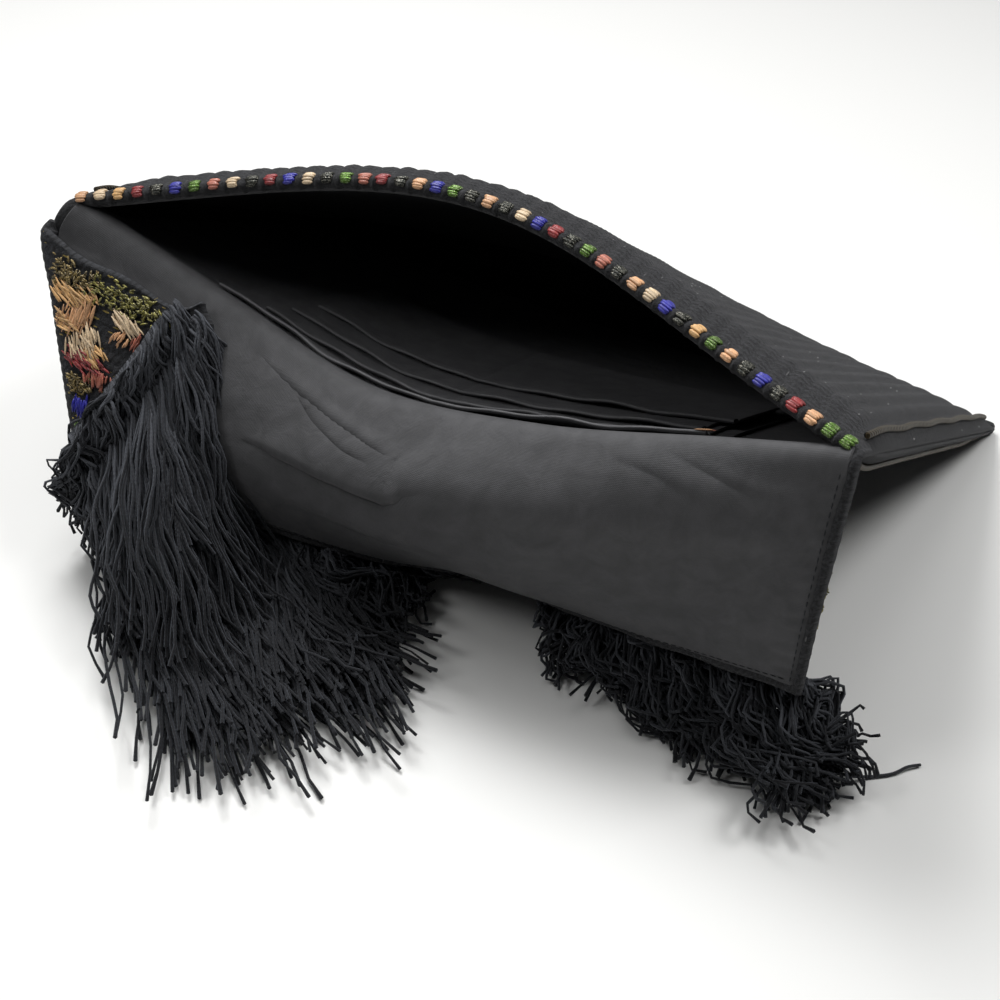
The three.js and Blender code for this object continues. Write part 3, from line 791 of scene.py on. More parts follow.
@dataclass(frozen=True)
class Twill(Finish):
    """Matte black cotton twill with a fine diagonal line."""

    lighter: Colour = (0.072, 0.072, 0.076)

    def detail(self, nodes: Nodes, shader: bpy.types.Node) -> None:
        """Adds the twill line, slight creasing and a paler mottling that follows the creasing and grain
        bumps.

        Args:
            nodes: The material's nodes.
            shader: Its shader node.
        """
        flat = nodes.add("ShaderNodeUVMap", uv_map="Cloth").outputs[0]
        parts = nodes.add("ShaderNodeSeparateXYZ", {0: flat})
        slant = nodes.maths("ADD", parts.outputs[0], nodes.maths("MULTIPLY", parts.outputs[1], 0.6))
        line = nodes.maths("SINE", nodes.maths("MULTIPLY", slant, 2 * math.pi / 0.055))
        thread = nodes.maths("SINE", nodes.maths("MULTIPLY", parts.outputs[1], 2 * math.pi / 0.04))
        weave = nodes.maths("ADD", line, nodes.maths("MULTIPLY", thread, 0.5))
        grain = nodes.add("ShaderNodeTexNoise",
                          {"Vector": flat, "Scale": 18.0, "Detail": 6.0, "Roughness": 0.65})
        crush = nodes.add("ShaderNodeTexNoise", {"Vector": flat, "Scale": 1.4, "Detail": 5.0,
                                                 "Roughness": 0.6, "Distortion": 0.4})
        height = nodes.maths("ADD", nodes.maths("MULTIPLY", weave, 0.25), grain.outputs[0])
        height = nodes.maths("ADD", height, nodes.maths("MULTIPLY", crush.outputs[0], 5.0))
        self.bump(nodes, shader, height, 0.45, 0.00022)
        # paler mottling that follows the height of the creasing and grain bumps
        raised_mottle = nodes.ramp(nodes.maths("ADD", nodes.maths("MULTIPLY", crush.outputs[0], 0.7),
                                      nodes.maths("MULTIPLY", grain.outputs[0], 0.3)), 0.38, 0.66)
        self.paint(nodes, shader, nodes.blend(raised_mottle, rgba(self.colour), rgba(self.lighter)))


@dataclass(frozen=True)
class TintedYarn(Finish):
    """Satin or lurex yarn whose colour is each stitch's own."""

    sparkle: float = 0.0

    def detail(self, nodes: Nodes, shader: bpy.types.Node) -> None:
        """Takes the colour from the stitch, with fine threads and glints.

        Args:
            nodes: The material's nodes.
            shader: Its shader node.
        """
        tint = nodes.add("ShaderNodeAttribute", attribute_name="tint")
        place = nodes.add("ShaderNodeTexCoord").outputs["Object"]
        threads = nodes.add("ShaderNodeTexNoise", {"Vector": place, "Scale": 3200.0, "Detail": 3.0})
        self.bump(nodes, shader, threads.outputs[0], 0.5, 0.0002)
        shade = nodes.ramp(threads.outputs[0], 0.3, 0.7)
        dark = nodes.blend(0.45, tint.outputs["Color"], rgba((0.0, 0.0, 0.0)))
        colour = nodes.blend(shade, dark, tint.outputs["Color"])
        if self.sparkle > 0:
            cells = nodes.add("ShaderNodeTexVoronoi", {"Vector": place, "Scale": 3000.0})
            bright = nodes.maths("LESS_THAN", cells.outputs["Distance"], self.sparkle)
            light = nodes.blend(0.25, tint.outputs["Color"], rgba((1.0, 0.95, 0.8)))
            colour = nodes.blend(bright, colour, light)
        self.paint(nodes, shader, colour)


@dataclass(frozen=True)
class FringeCotton(Finish):
    """Plied black cotton, a little bluish where the light rakes it."""

    lighter: Colour = (0.075, 0.079, 0.09)

    def detail(self, nodes: Nodes, shader: bpy.types.Node) -> None:
        """Shades each strand by its own tone, paints shade that darkens it towards its tip, and adds its
        plies.

        Args:
            nodes: The material's nodes.
            shader: Its shader node.
        """
        tone = nodes.add("ShaderNodeAttribute", attribute_name="tone").outputs["Fac"]
        along = nodes.add("ShaderNodeAttribute", attribute_name="along").outputs["Fac"]
        plies = nodes.maths("SINE", nodes.maths("MULTIPLY", along, 2 * math.pi / 1.5))
        place = nodes.add("ShaderNodeTexCoord").outputs["Object"]
        fuzz = nodes.add("ShaderNodeTexNoise",
                         {"Vector": place, "Scale": 1500.0, "Detail": 4.0, "Roughness": 0.7})
        height = nodes.maths("ADD", nodes.maths("MULTIPLY", plies, 0.12), fuzz.outputs[0])
        self.bump(nodes, shader, height, 0.7, 0.0004)
        # painted shade: the lighter tone fades out between 8 and 62 mm along each strand, so every strand
        # darkens towards its tip
        light = nodes.maths("MULTIPLY", tone, nodes.ramp(along, 62.0, 8.0))
        self.paint(nodes, shader, nodes.blend(light, rgba(self.colour), rgba(self.lighter)))


@dataclass(frozen=True)
class TwistedLurex(Finish):
    """A metallic thread twisted round a dark core."""

    dark: Colour = (0.012, 0.011, 0.01)

    def detail(self, nodes: Nodes, shader: bpy.types.Node) -> None:
        """Winds the bright thread round the cord.

        Args:
            nodes: The material's nodes.
            shader: Its shader node.
        """
        flat = nodes.add("ShaderNodeUVMap", uv_map="Cloth").outputs[0]
        parts = nodes.add("ShaderNodeSeparateXYZ", {0: flat})
        turn = nodes.maths("ADD", nodes.maths("MULTIPLY", parts.outputs[0], 2 * math.pi / 0.16),
                           nodes.maths("MULTIPLY", parts.outputs[1], 2 * math.pi))
        wave = nodes.maths("SINE", turn)
        self.bump(nodes, shader, wave, 0.6, 0.0005)
        lit = nodes.ramp(wave, -0.2, 0.6)
        self.paint(nodes, shader, nodes.blend(lit, rgba(self.dark), rgba(self.colour)))


@dataclass(frozen=True)
class Paper(Finish):
    """The pale sweep that the clutch stands on."""


class Look(Enum):
    """The clutch's finishes."""

    WEAVE = RibbedWeave("black_ribbed_weave", (0.012, 0.012, 0.013), 0.92, 0.15,
                        sheen_colour=(0.6, 0.6, 0.62))
    RICH_WEAVE = RibbedWeave("black_weave_with_gold_lurex", (0.012, 0.011, 0.01), 0.9, 0.2,
                             lurex=(0.4, 0.3, 0.08), lurex_share=0.5, lurex_width=0.28)
    LINING = Twill("black_cotton_twill", (0.046, 0.046, 0.049), 0.8, 0.15, sheen_colour=(0.6, 0.6, 0.62),
                   specular=0.5)
    POCKET = Twill("pocket_cotton_twill", (0.05, 0.05, 0.054), 0.8, 0.15, sheen_colour=(0.6, 0.6, 0.62),
                   specular=0.5, lighter=(0.08, 0.08, 0.084))
    # painted highlight: the slots' folded edges get a paler twill than the pockets, standing in for the light
    # that catches them
    POCKET_EDGE = Twill("pocket_edge_twill", (0.10, 0.10, 0.106), 0.75, 0.2, sheen_colour=(0.6, 0.6, 0.62),
                        specular=0.6, lighter=(0.15, 0.15, 0.155))
    SATIN = TintedYarn("satin_yarn", (0.5, 0.35, 0.25), 0.38, 0.1, specular=0.6)
    SPARKLE = TintedYarn("lurex_yarn", (0.2, 0.2, 0.1), 0.4, 0.0, metallic=0.6, sparkle=0.35)
    FRINGE = FringeCotton("black_fringe_cotton", (0.006, 0.006, 0.007), 0.88, 0.2)
    CORD = TwistedLurex("bronze_lurex_cord", (0.09, 0.07, 0.042), 0.5, 0.0, metallic=0.6)
    THREAD = TintedYarn("sewing_thread", (0.02, 0.02, 0.022), 0.7, 0.2)
    SWEEP = Paper("pale_sweep", (0.84, 0.84, 0.825), 0.7, 0.0, specular=0.2)

    def material(self) -> bpy.types.Material:
        """The look's material."""
        return self.value.material()


class Yarn(Enum):
    """Colours of the floats and stitches."""

    CREAM = (0.92, 0.70, 0.45)
    PEACH = (0.90, 0.50, 0.26)
    GOLD = (0.85, 0.50, 0.20)
    ROSE = (0.62, 0.20, 0.13)
    RED = (0.36, 0.03, 0.03)
    BLUE = (0.03, 0.03, 0.42)
    GREEN = (0.10, 0.20, 0.03)
    BRONZE = (0.22, 0.16, 0.06)
    OLIVE = (0.24, 0.22, 0.06)
    DARK = (0.03, 0.032, 0.028)
    BLACK = (0.012, 0.012, 0.013)


def new_tree(name: str, sizes: dict[str, str]) -> tuple[bpy.types.NodeTree, Nodes, bpy.types.Node]:
    """Starts a Geometry Nodes tree with a geometry, its own sizes and a material as named inputs.

    Args:
        name: The tree's name.
        sizes: The kind of each of its own inputs, by name.

    Returns:
        The tree, its builder and its input node.
    """
    tree = bpy.data.node_groups.new(name, "GeometryNodeTree")
    tree.is_modifier = True
    for label, kind in {"Geometry": "Geometry", **sizes, "Material": "Material"}.items():
        tree.interface.new_socket(label, in_out="INPUT", socket_type="NodeSocket" + kind)
    tree.interface.new_socket("Geometry", in_out="OUTPUT", socket_type="NodeSocketGeometry")
    nodes = Nodes(tree)
    return tree, nodes, nodes.add("NodeGroupInput")


def placed_copies_tree() -> bpy.types.NodeTree:
    """Builds the tree that puts a copy of one object on each point and makes them real.

    Returns:
        The tree. Its points carry the attributes turn, size and tint.
    """
    name = "placed_copies"
    if name in bpy.data.node_groups:
        return bpy.data.node_groups[name]
    tree, nodes, start = new_tree(name, {"Copied object": "Object", "Size factor": "Float"})
    shape = nodes.add("GeometryNodeObjectInfo",
                      {"Object": start.outputs["Copied object"], "As Instance": True})
    turn = nodes.add("GeometryNodeInputNamedAttribute", {"Name": "turn"}, data_type="QUATERNION")
    size = nodes.add("GeometryNodeInputNamedAttribute", {"Name": "size"}, data_type="FLOAT_VECTOR")
    scaled = nodes.add("ShaderNodeVectorMath", {0: size.outputs["Attribute"]}, operation="SCALE")
    tree.links.new(start.outputs["Size factor"], scaled.inputs["Scale"])
    copies = nodes.add("GeometryNodeInstanceOnPoints", {
        "Points": start.outputs["Geometry"], "Instance": shape.outputs["Geometry"],
        "Rotation": turn.outputs["Attribute"], "Scale": scaled.outputs[0],
    })
    real = nodes.add("GeometryNodeRealizeInstances", {0: copies.outputs[0]})
    dressed = nodes.add("GeometryNodeSetMaterial", {"Geometry": real.outputs[0],
                                                    "Material": start.outputs["Material"]})
    nodes.add("NodeGroupOutput", {"Geometry": dressed.outputs[0]})
    return tree


def strand_tree() -> bpy.types.NodeTree:
    """Builds the tree that turns lines into round strands.

    Returns:
        The tree. Its points carry the attribute thick, a radius in metres.
    """
    name = "round_strands"
    if name in bpy.data.node_groups:
        return bpy.data.node_groups[name]
    tree, nodes, start = new_tree(name, {"Thickness factor": "Float", "Sides": "Int"})
    lines = nodes.add("GeometryNodeMeshToCurve", {"Mesh": start.outputs["Geometry"]})
    thick = nodes.add("GeometryNodeInputNamedAttribute", {"Name": "thick"}, data_type="FLOAT")
    radius = nodes.maths("MULTIPLY", thick.outputs["Attribute"], start.outputs["Thickness factor"])
    sized = nodes.add("GeometryNodeSetCurveRadius", {"Curve": lines.outputs[0], "Radius": radius})
    ring = nodes.add("GeometryNodeCurvePrimitiveCircle",
                     {"Resolution": start.outputs["Sides"], "Radius": 1.0})
    tubes = nodes.add("GeometryNodeCurveToMesh", {"Curve": sized.outputs[0], "Profile Curve": ring.outputs[0],
                                                  "Fill Caps": True})
    if "Scale" in tubes.inputs:
        own = nodes.add("GeometryNodeInputRadius")
        tree.links.new(own.outputs[0], tubes.inputs["Scale"])
    even = nodes.add("GeometryNodeSetShadeSmooth", {0: tubes.outputs[0]})
    real = nodes.add("GeometryNodeRealizeInstances", {0: even.outputs[0]})
    dressed = nodes.add("GeometryNodeSetMaterial", {"Geometry": real.outputs[0],
                                                    "Material": start.outputs["Material"]})
    nodes.add("NodeGroupOutput", {"Geometry": dressed.outputs[0]})
    return tree


def grown(name: str, source: bpy.types.Mesh, tree: bpy.types.NodeTree,
          values: dict[str, object]) -> bpy.types.Object:
    """Runs a tree over a mesh and keeps the result as a plain piece.

    Args:
        name: The piece's name.
        source: The mesh with the points or lines.
        tree: The tree.
        values: The tree's inputs by name.

    Returns:
        The piece.
    """
    holder = new_piece(name + "_source", source)
    modifier = holder.modifiers.new("tree", "NODES")
    modifier.node_group = tree
    sockets = {item.name: item.identifier for item in tree.interface.items_tree if item.in_out == "INPUT"}
    for key, value in values.items():
        modifier[sockets[key]] = value
    graph = bpy.context.evaluated_depsgraph_get()
    made = bpy.data.meshes.new_from_object(holder.evaluated_get(graph), depsgraph=graph)
    made.name = name
    bpy.data.objects.remove(holder)
    bpy.data.meshes.remove(source)
    return new_piece(name, made)


def points_mesh(name: str, places: Array, turns: Array, sizes: Array, tints: Array) -> bpy.types.Mesh:
    """Makes a mesh of loose points that carry turn, size and tint.

    Args:
        name: The mesh's name.
        places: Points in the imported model's frame.
        turns: Rotation matrices.
        sizes: Scales along each copy's own axes.
        tints: Colours.

    Returns:
        The mesh.
    """
    mesh = bpy.data.meshes.new(name)
    mesh.vertices.add(len(places))
    mesh.vertices.foreach_set("co", np.asarray(places, np.float32).ravel())
    quaternions = np.array([tuple(Matrix(turn.tolist()).to_quaternion()) for turn in turns], np.float32)
    mesh.attributes.new("turn", "QUATERNION", "POINT").data.foreach_set("value", quaternions.ravel())
    scales = sizes.astype(np.float32).ravel()
    mesh.attributes.new("size", "FLOAT_VECTOR", "POINT").data.foreach_set("vector", scales)
    colours = np.concatenate([tints, np.ones((len(tints), 1))], 1).astype(np.float32)
    mesh.attributes.new("tint", "FLOAT_COLOR", "POINT").data.foreach_set("color", colours.ravel())
    return mesh


def pod(name: str, rings: int, sides: int) -> bpy.types.Object:
    """Makes the small rounded shape that stitches and floats are copies of.

    Args:
        name: The object's name.
        rings: Rings along its length, which lies along X from -0.5 to 0.5.
        sides: Sides round it.

    Returns:
        The object, which isn't linked to the scene.
    """
    t = np.linspace(0.03, 0.97, rings)
    size = (1 - np.abs(2 * t - 1) ** 3.2) ** 0.5
    angle = np.arange(sides) / sides * 2 * np.pi
    x = np.repeat(t - 0.5, sides)
    y = (size[:, None] * np.cos(angle)).ravel() * 0.5
    z = (size[:, None] * np.sin(angle)).ravel() * 0.5
    points = np.concatenate([np.stack([x, y, z], -1), [[-0.5, 0, 0], [0.5, 0, 0]]])
    number = np.arange(rings * sides).reshape(rings, sides)
    after = np.roll(number, -1, 1)
    walls = np.stack([number[:-1], after[:-1], after[1:], number[1:]], -1).reshape(-1, 4)
    half = np.arange(0, sides, 2)
    first, last = rings * sides, rings * sides + 1
    near = np.stack([np.full(len(half), first), number[0, (half + 2) % sides], number[0, (half + 1) % sides],
                     number[0, half]], -1)
    end = np.stack([np.full(len(half), last), number[-1, half], number[-1, (half + 1) % sides],
                    number[-1, (half + 2) % sides]], -1)
    mesh = mesh_of(name, points, np.concatenate([walls, near, end]))
    return bpy.data.objects.new(name, mesh)


def stitched(source: bpy.types.Mesh, rings: int, sides: int, look: Look, slot: str) -> bpy.types.Object:
    """Puts a pod on each point of a mesh and settles the result as a piece.

    Args:
        source: The mesh of points, which has the piece's name.
        rings: Rings along a pod.
        sides: Sides round a pod.
        look: The finish.
        slot: Passed on to settle, which does not use it.

    Returns:
        The piece.
    """
    name = source.name
    shape = pod(name + "_shape", rings, sides)
    piece = grown(name, source, placed_copies_tree(),
                  {"Copied object": shape, "Size factor": 1.0, "Material": look.material()})
    bpy.data.objects.remove(shape)
    return settle(piece, None, slot)


def frames_from(along: Array, upright: Array) -> Array:
    """Rotation matrices whose X runs along and whose Z stands nearly upright.

    Args:
        along: Directions for X.
        upright: Directions near Z.

    Returns:
        The matrices.
    """
    x = along / np.linalg.norm(along, axis=-1, keepdims=True)
    y = np.cross(upright, x)
    y /= np.linalg.norm(y, axis=-1, keepdims=True)
    return np.stack([x, y, np.cross(x, y)], -1)


def lines_mesh(name: str, lines: Array, radius: Array, tones: Array) -> bpy.types.Mesh:
    """Makes a mesh of loose lines that carry thick, tone and along.

    Args:
        name: The mesh's name.
        lines: Points of each line in the plan, lines by points by three.
        radius: Radius in millimetres at each point.
        tones: One tone for each line.

    Returns:
        The mesh.
    """
    count, steps = lines.shape[:2]
    mesh = bpy.data.meshes.new(name)
    mesh.vertices.add(count * steps)
    mesh.vertices.foreach_set("co", to_frame(lines).astype(np.float32).ravel())
    number = np.arange(count * steps).reshape(count, steps)
    edges = np.stack([number[:, :-1], number[:, 1:]], -1).reshape(-1, 2)
    mesh.edges.add(len(edges))
    mesh.edges.foreach_set("vertices", edges.astype(np.int32).ravel())
    pace = np.linalg.norm(np.diff(lines, axis=1), axis=-1)
    walked = np.concatenate([np.zeros((count, 1)), np.cumsum(pace, 1)], 1)
    for label, values in (("thick", radius / 1000), ("along", walked), ("tone", np.repeat(tones, steps))):
        stored = mesh.attributes.new(label, "FLOAT", "POINT")
        stored.data.foreach_set("value", values.ravel().astype(np.float32))
    return mesh


def settle(piece: bpy.types.Object, look: Look | None, slot: str, *nodes: str) -> bpy.types.Object:
    """Gives a piece its finish, its body and the solids that it stands for, and logs it.

    Args:
        piece: The piece.
        look: Its finish, or None where its tree gave it one.
        slot: Not used.
        nodes: The solids that it replaces.

    Returns:
        The piece.
    """
    if look is not None:
        piece.data.materials.clear()
        piece.data.materials.append(look.material())
    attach(piece, "root")
    if nodes:
        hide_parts(*nodes)
    LOG.info("%s: %d faces", piece.name, len(piece.data.polygons))
    return piece


def ribs(right: Array, down: Array, pitch: float = 290 / 45, bead: float = 4.8, height: float = 1.0) -> Array:
    """The woven ribs' height over the cloth.

    Args:
        right: Millimetres across the flat cloth.
        down: Millimetres along the ribs.
        pitch: Distance from rib to rib.
        bead: Length of one woven bead on a rib.
        height: Height of a rib.

    Returns:
        Heights in millimetres.
    """
    place = right / pitch
    number = np.floor(place)
    profile = np.abs(np.sin(np.pi * place)) ** 0.7
    beads = 0.8 + 0.14 * np.sin(2 * np.pi * down / bead + 1.9 * number + 0.6 * np.sin(number + down / 9))
    uneven = 1 + 0.14 * np.sin(number * 2.4 + down / 17) + 0.1 * np.sin(number * 5.1 - down / 7.3)
    return height * profile * beads * uneven


@dataclass
class WovenShell:
    """The woven cloth: front panel, back panel with flap, folded corner, and the rolled bottom and crease."""

    cloth: float = 2.0
    rim_clearance: float = 0.3
    seam_puff: float = 0.8
    edge_turn: float = 2.6
    columns: int = 181
    row_step: float = 1.6

    def build(self) -> list[bpy.types.Object]:
        """Builds and dresses the pieces of the shell.

        Returns:
            The pieces.
        """
        front = settle(new_piece("front_cloth", self.front_mesh()), Look.WEAVE, "black_weave", "woven_shell")
        back = settle(new_piece("back_and_flap_cloth", self.back_mesh()), Look.WEAVE, "black_weave")
        ear = settle(new_piece("folded_corner_cloth", self.ear_mesh()), Look.RICH_WEAVE, "black_weave")
        bottom = settle(new_piece("bottom_roll", self.bottom_mesh()), Look.WEAVE, "black_weave")
        crease = settle(new_piece("corner_crease_roll", self.crease_mesh()), Look.WEAVE, "black_weave")
        return [front, back, ear, bottom, crease]

    def puff(self, across: Array) -> Array:
        """How far each panel stands off the other along the side seams."""
        return self.seam_puff * (bell(across * 290, 18) + bell((1 - across) * 290, 18))

    def front_mesh(self) -> bpy.types.Mesh:
        """Makes the front panel's cloth.

        Returns:
            The mesh.
        """
        columns = np.linspace(0, 1, self.columns)
        lengths = np.linspace(self.rim_clearance, SHAPE.body_length - 0.6, 112)
        patch = front_patch(columns, lengths)
        a, l = np.meshgrid(columns, lengths)
        puff = self.puff(a) * smooth(l / 25) * smooth((SHAPE.body_length - l) / 12)
        lifted = Patch(patch.points + patch.normals * puff[..., None], patch.normals, patch.right, patch.down)
        edges = smooth(a / 0.012) * smooth((1 - a) / 0.012)
        relief = ribs(lifted.right, lifted.down) * (0.35 + 0.65 * edges) * smooth((l - 1) / 4)
        return cloth_mesh("front_cloth", lifted, -self.cloth / 2, self.cloth / 2 - 0.3 + relief, 75)

    def back_mesh(self) -> bpy.types.Mesh:
        """Makes the back panel and the flap.

        Returns:
            The mesh.
        """
        columns = np.linspace(0, 1, self.columns)
        inside = np.linspace(-SHAPE.body_length + 0.6, 0, 100)
        rows = np.concatenate([inside, np.linspace(1.5, SHAPE.flap_length, 50)])[::-1]
        patch = sheet_patch(columns, rows)
        a, r = np.meshgrid(columns, rows)
        puff = self.puff(a) * smooth(-r / 25) * smooth((SHAPE.body_length + r) / 12)
        lifted = Patch(patch.points - patch.normals * puff[..., None], patch.normals, patch.right, patch.down)
        relief = ribs(lifted.right, lifted.down)
        hem = smooth((r - SHAPE.flap_length + self.edge_turn) / 0.8)
        side = smooth(((a - 1) * SHAPE.body_width + self.edge_turn) / 0.8) * smooth((r + 4) / 8)
        turned = np.maximum(hem * smooth(a / 0.03), side)
        high = self.cloth / 2 + turned * (1.25 + 0.25 * np.sin(r * 2 * np.pi / 5 + a * 60))
        return cloth_mesh("back_and_flap_cloth", lifted, -self.cloth / 2 + 0.3 - relief, high, 75)

    def ear_mesh(self) -> bpy.types.Mesh:
        """Makes the folded corner.

        Returns:
            The mesh.
        """
        along, towards = np.linspace(0, 1, 100), np.linspace(0, 0.9, 80)
        patch = ear_patch(along, towards)
        u, v = np.meshgrid(along, towards)
        rise = SHAPE.ear_height + 1.5 * v * (1 - v) + 2.0 * smooth((v - 0.5) / 0.5) * (1 - u)
        relief = 0.55 * ribs(patch.right, patch.down, 3.2, 2.4, 0.9)
        border = np.maximum(bell(u, 0.05), bell(SHAPE.flap_length - patch.down, 2.2))
        lifted = Patch(patch.points + patch.normals * rise[..., None], patch.normals, patch.right, patch.down)
        return cloth_mesh("folded_corner_cloth", lifted, -self.cloth / 2 - 0.3 * border,
                          self.cloth / 2 - 0.2 + relief + 0.7 * border, 70)

    def bottom_mesh(self) -> bpy.types.Mesh:
        """Makes the rolled bottom edge.

        Returns:
            The mesh.
        """
        across = np.linspace(0, 1, 361)
        radius = 2.05 + 0.42 * np.abs(np.sin(np.pi * across * 45)) ** 0.8
        radius[[0, -1]] = 1.4
        return rod_mesh("bottom_roll", SHAPE.bottom(across), radius, 14)

    def crease_mesh(self) -> bpy.types.Mesh:
        """Makes the roll where the flap's corner turns over.

        Returns:
            The mesh.
        """
        rows = np.linspace(SHAPE.ear_start - 3, SHAPE.flap_length, 120)
        zero = np.zeros_like(rows)
        normals = surface_normal(SHAPE.sheet, zero, rows, -0.002, 0.4)
        points = SHAPE.sheet(zero, rows) + normals * SHAPE.ear_height / 2
        radius = 2.75 + 0.25 * np.abs(np.sin(np.pi * rows / 2.2))
        radius[:6] = np.linspace(1.0, 2.75, 6)
        radius[-5:] = np.linspace(2.75, 1.2, 5)
        return rod_mesh("corner_crease_roll", points, radius, 16)


@dataclass
class Linings:
    """The twill linings of the back panel with the flap, and of the front panel."""

    low: float = 1.3
    high: float = 2.3
    seam_inset: float = 8.0
    hem_inset: float = 2.0
    fold_inset: float = 3.6
    depth: float = 150.0

    def build(self) -> list[bpy.types.Object]:
        """Builds and dresses both linings.

        Returns:
            The pieces.
        """
        back = settle(new_piece("back_lining_cloth", self.back_mesh()), Look.LINING, "black_twill",
                      "back_lining")
        front = settle(new_piece("front_lining_cloth", self.front_mesh()), Look.LINING, "black_twill",
                       "front_lining")
        return [back, front]

    def back_mesh(self) -> bpy.types.Mesh:
        """Makes the lining from inside the pouch over the lip and down the flap.

        Returns:
            The mesh.
        """
        rows = np.concatenate([np.linspace(-self.depth, -36, 40), np.linspace(-34, 0, 24),
                               np.linspace(0.5, SHAPE.flap_length - self.hem_inset, 146)])[::-1]
        shares = np.interp(np.linspace(0, 1, 221), (0, 0.12, 0.72, 1), (0, 0.2, 0.58, 1))
        blend = smooth((rows + 8) / 8)
        left = (self.seam_inset + (self.fold_inset - self.seam_inset) * blend) / SHAPE.body_width
        right = 1 - (self.seam_inset + (self.hem_inset - self.seam_inset) * blend) / SHAPE.body_width
        a = left[:, None] + (right - left)[:, None] * shares
        r = np.broadcast_to(rows[:, None], a.shape)
        normals = surface_normal(SHAPE.sheet, a, r, -0.002, 0.4)
        patch = Patch(SHAPE.sheet(a, r), normals, SHAPE.flat_right(a, r), r).lifted(SHAPE.folds(a, r))
        side = (1 - shares) * 276
        tuck = bell(side, 1.2)[None, :] * smooth(r / 20)
        tuck = np.maximum(tuck, bell(SHAPE.flap_length - self.hem_inset - r, 1.2))
        wave = 0.18 * np.sin(r * 2 * np.pi / 4.4) * bell(side - 4, 3)[None, :] * smooth(r / 12)
        return cloth_mesh("back_lining_cloth", patch, self.low, self.high - 0.7 * tuck + wave)

    def front_mesh(self) -> bpy.types.Mesh:
        """Makes the front panel's lining, puckered where it meets the rim.

        Returns:
            The mesh.
        """
        inset = self.seam_inset / SHAPE.body_width
        columns = np.linspace(inset, 1 - inset, 161)
        lengths = np.concatenate([np.linspace(5.2, 40, 26), np.linspace(43, self.depth, 26)])
        patch = front_patch(columns, lengths)
        a, l = np.meshgrid(columns, lengths)
        pucker = 0.5 * np.sin(a * 150 + 1.7 * np.sin(a * 23)) * bell(l - 6, 11)
        below_rim = smooth((l - 8) / 20)
        folds = 1.4 * bell((a - 0.66) * 290 - 0.55 * (l - 20), 5) * below_rim * smooth((90 - l) / 40)
        folds = folds + bell((a - 0.4) * 290 + 0.4 * (l - 20), 7) * below_rim * smooth((80 - l) / 30)
        sink = np.maximum(pucker, 0) + folds
        lifted = Patch(patch.points - patch.normals * sink[..., None], patch.normals, patch.right, patch.down)
        return cloth_mesh("front_lining_cloth", lifted, -self.high, -self.low)


@dataclass
class CardPockets:
    """Four tiers of card slots on the back lining, in two columns."""

    lefts: tuple[float, ...] = (0.19, 0.235, 0.25, 0.265)
    rights: tuple[float, ...] = (0.84, 0.82, 0.81, 0.83)
    start: float = 5.0
    step: float = 11.0
    end: float = 84.0
    under: float = 2.3
    cloth: float = 0.7
    gap: float = 0.3
    divider: float = 0.51

    def build(self) -> list[bpy.types.Object]:
        """Builds and dresses the four pockets.

        Returns:
            The pieces.
        """
        made = []
        for k in range(4):
            name = f"card_pocket_{k + 1}"
            piece = settle(new_piece(name + "_cloth", self.pocket_mesh(k)), Look.POCKET, "pocket_twill", name)
            # the edge rod wears the paler twill as a painted highlight
            edge = settle(new_piece(name + "_edge", self.edge_mesh(k)), Look.POCKET_EDGE, "pocket_twill")
            made += [piece, edge]
        return made

    def lift(self, k: int, across: Array, depth: Array) -> Array:
        """How far a tier's top edge gapes between its seams.

        Args:
            k: The tier's number.
            across: Shares across.
            depth: Millimetres below the tier's edge.

        Returns:
            The lift in millimetres.
        """
        seams = np.abs(np.sin(np.pi * (across - self.lefts[k]) / (self.divider - self.lefts[k])))
        other = np.abs(np.sin(np.pi * (self.rights[k] - across) / (self.rights[k] - self.divider)))
        gape = np.where(across < self.divider, seams, other) ** 0.7
        wave = 0.5 + 0.3 * np.sin(across * 31 + 1.9 * k) + 0.25 * np.sin(across * 67 - 2.3 * k)
        return 1.5 * gape * wave * np.exp(-depth / 5)

    def edge_mesh(self, k: int) -> bpy.types.Mesh:
        """Makes the folded edge of one tier.

        Args:
            k: The tier's number, from the lip inwards.

        Returns:
            The mesh.
        """
        across = np.linspace(self.lefts[k], self.rights[k], 160)
        run = np.full_like(across, -(self.start + k * self.step))
        normal = surface_normal(SHAPE.sheet, across, run, -0.002, 0.4)
        height = self.under + self.gap + k * (self.cloth + self.gap) + 0.75 + self.lift(k, across, 0 * across)
        points = SHAPE.sheet(across, run + 0.15) + normal * (height + SHAPE.folds(across, run))[:, None]
        return rod_mesh(f"card_pocket_{k + 1}_edge", points, 0.42, 8)

    def pocket_mesh(self, k: int) -> bpy.types.Mesh:
        """Makes one tier, whose folded top edge gapes a little between its seams.

        Args:
            k: The tier's number, from the lip inwards.

        Returns:
            The mesh.
        """
        top = self.start + k * self.step
        columns = np.linspace(self.lefts[k], self.rights[k], 141)
        depth = np.concatenate([np.array([0, 0.35, 0.8, 1.4, 2.1, 3.0, 4.2, 5.6, 7.2, 9, 11]),
                                np.linspace(13.5, self.end - top, 16)])
        rows = -(top + depth)
        patch = sheet_patch(columns, rows)
        a, d = np.meshgrid(columns, depth)
        low = self.under + self.gap + k * (self.cloth + self.gap)
        lift = self.lift(k, a, d)
        hem = 0.45 * smooth((3.4 - d) / 0.7)
        stitch = -0.3 * bell(d - 4.1, 0.6)
        seam = -0.35 * bell((a - self.divider) * 290, 0.9)
        high = low + self.cloth + lift + hem + stitch + seam
        return cloth_mesh(f"card_pocket_{k + 1}_cloth", patch, low + lift, high)


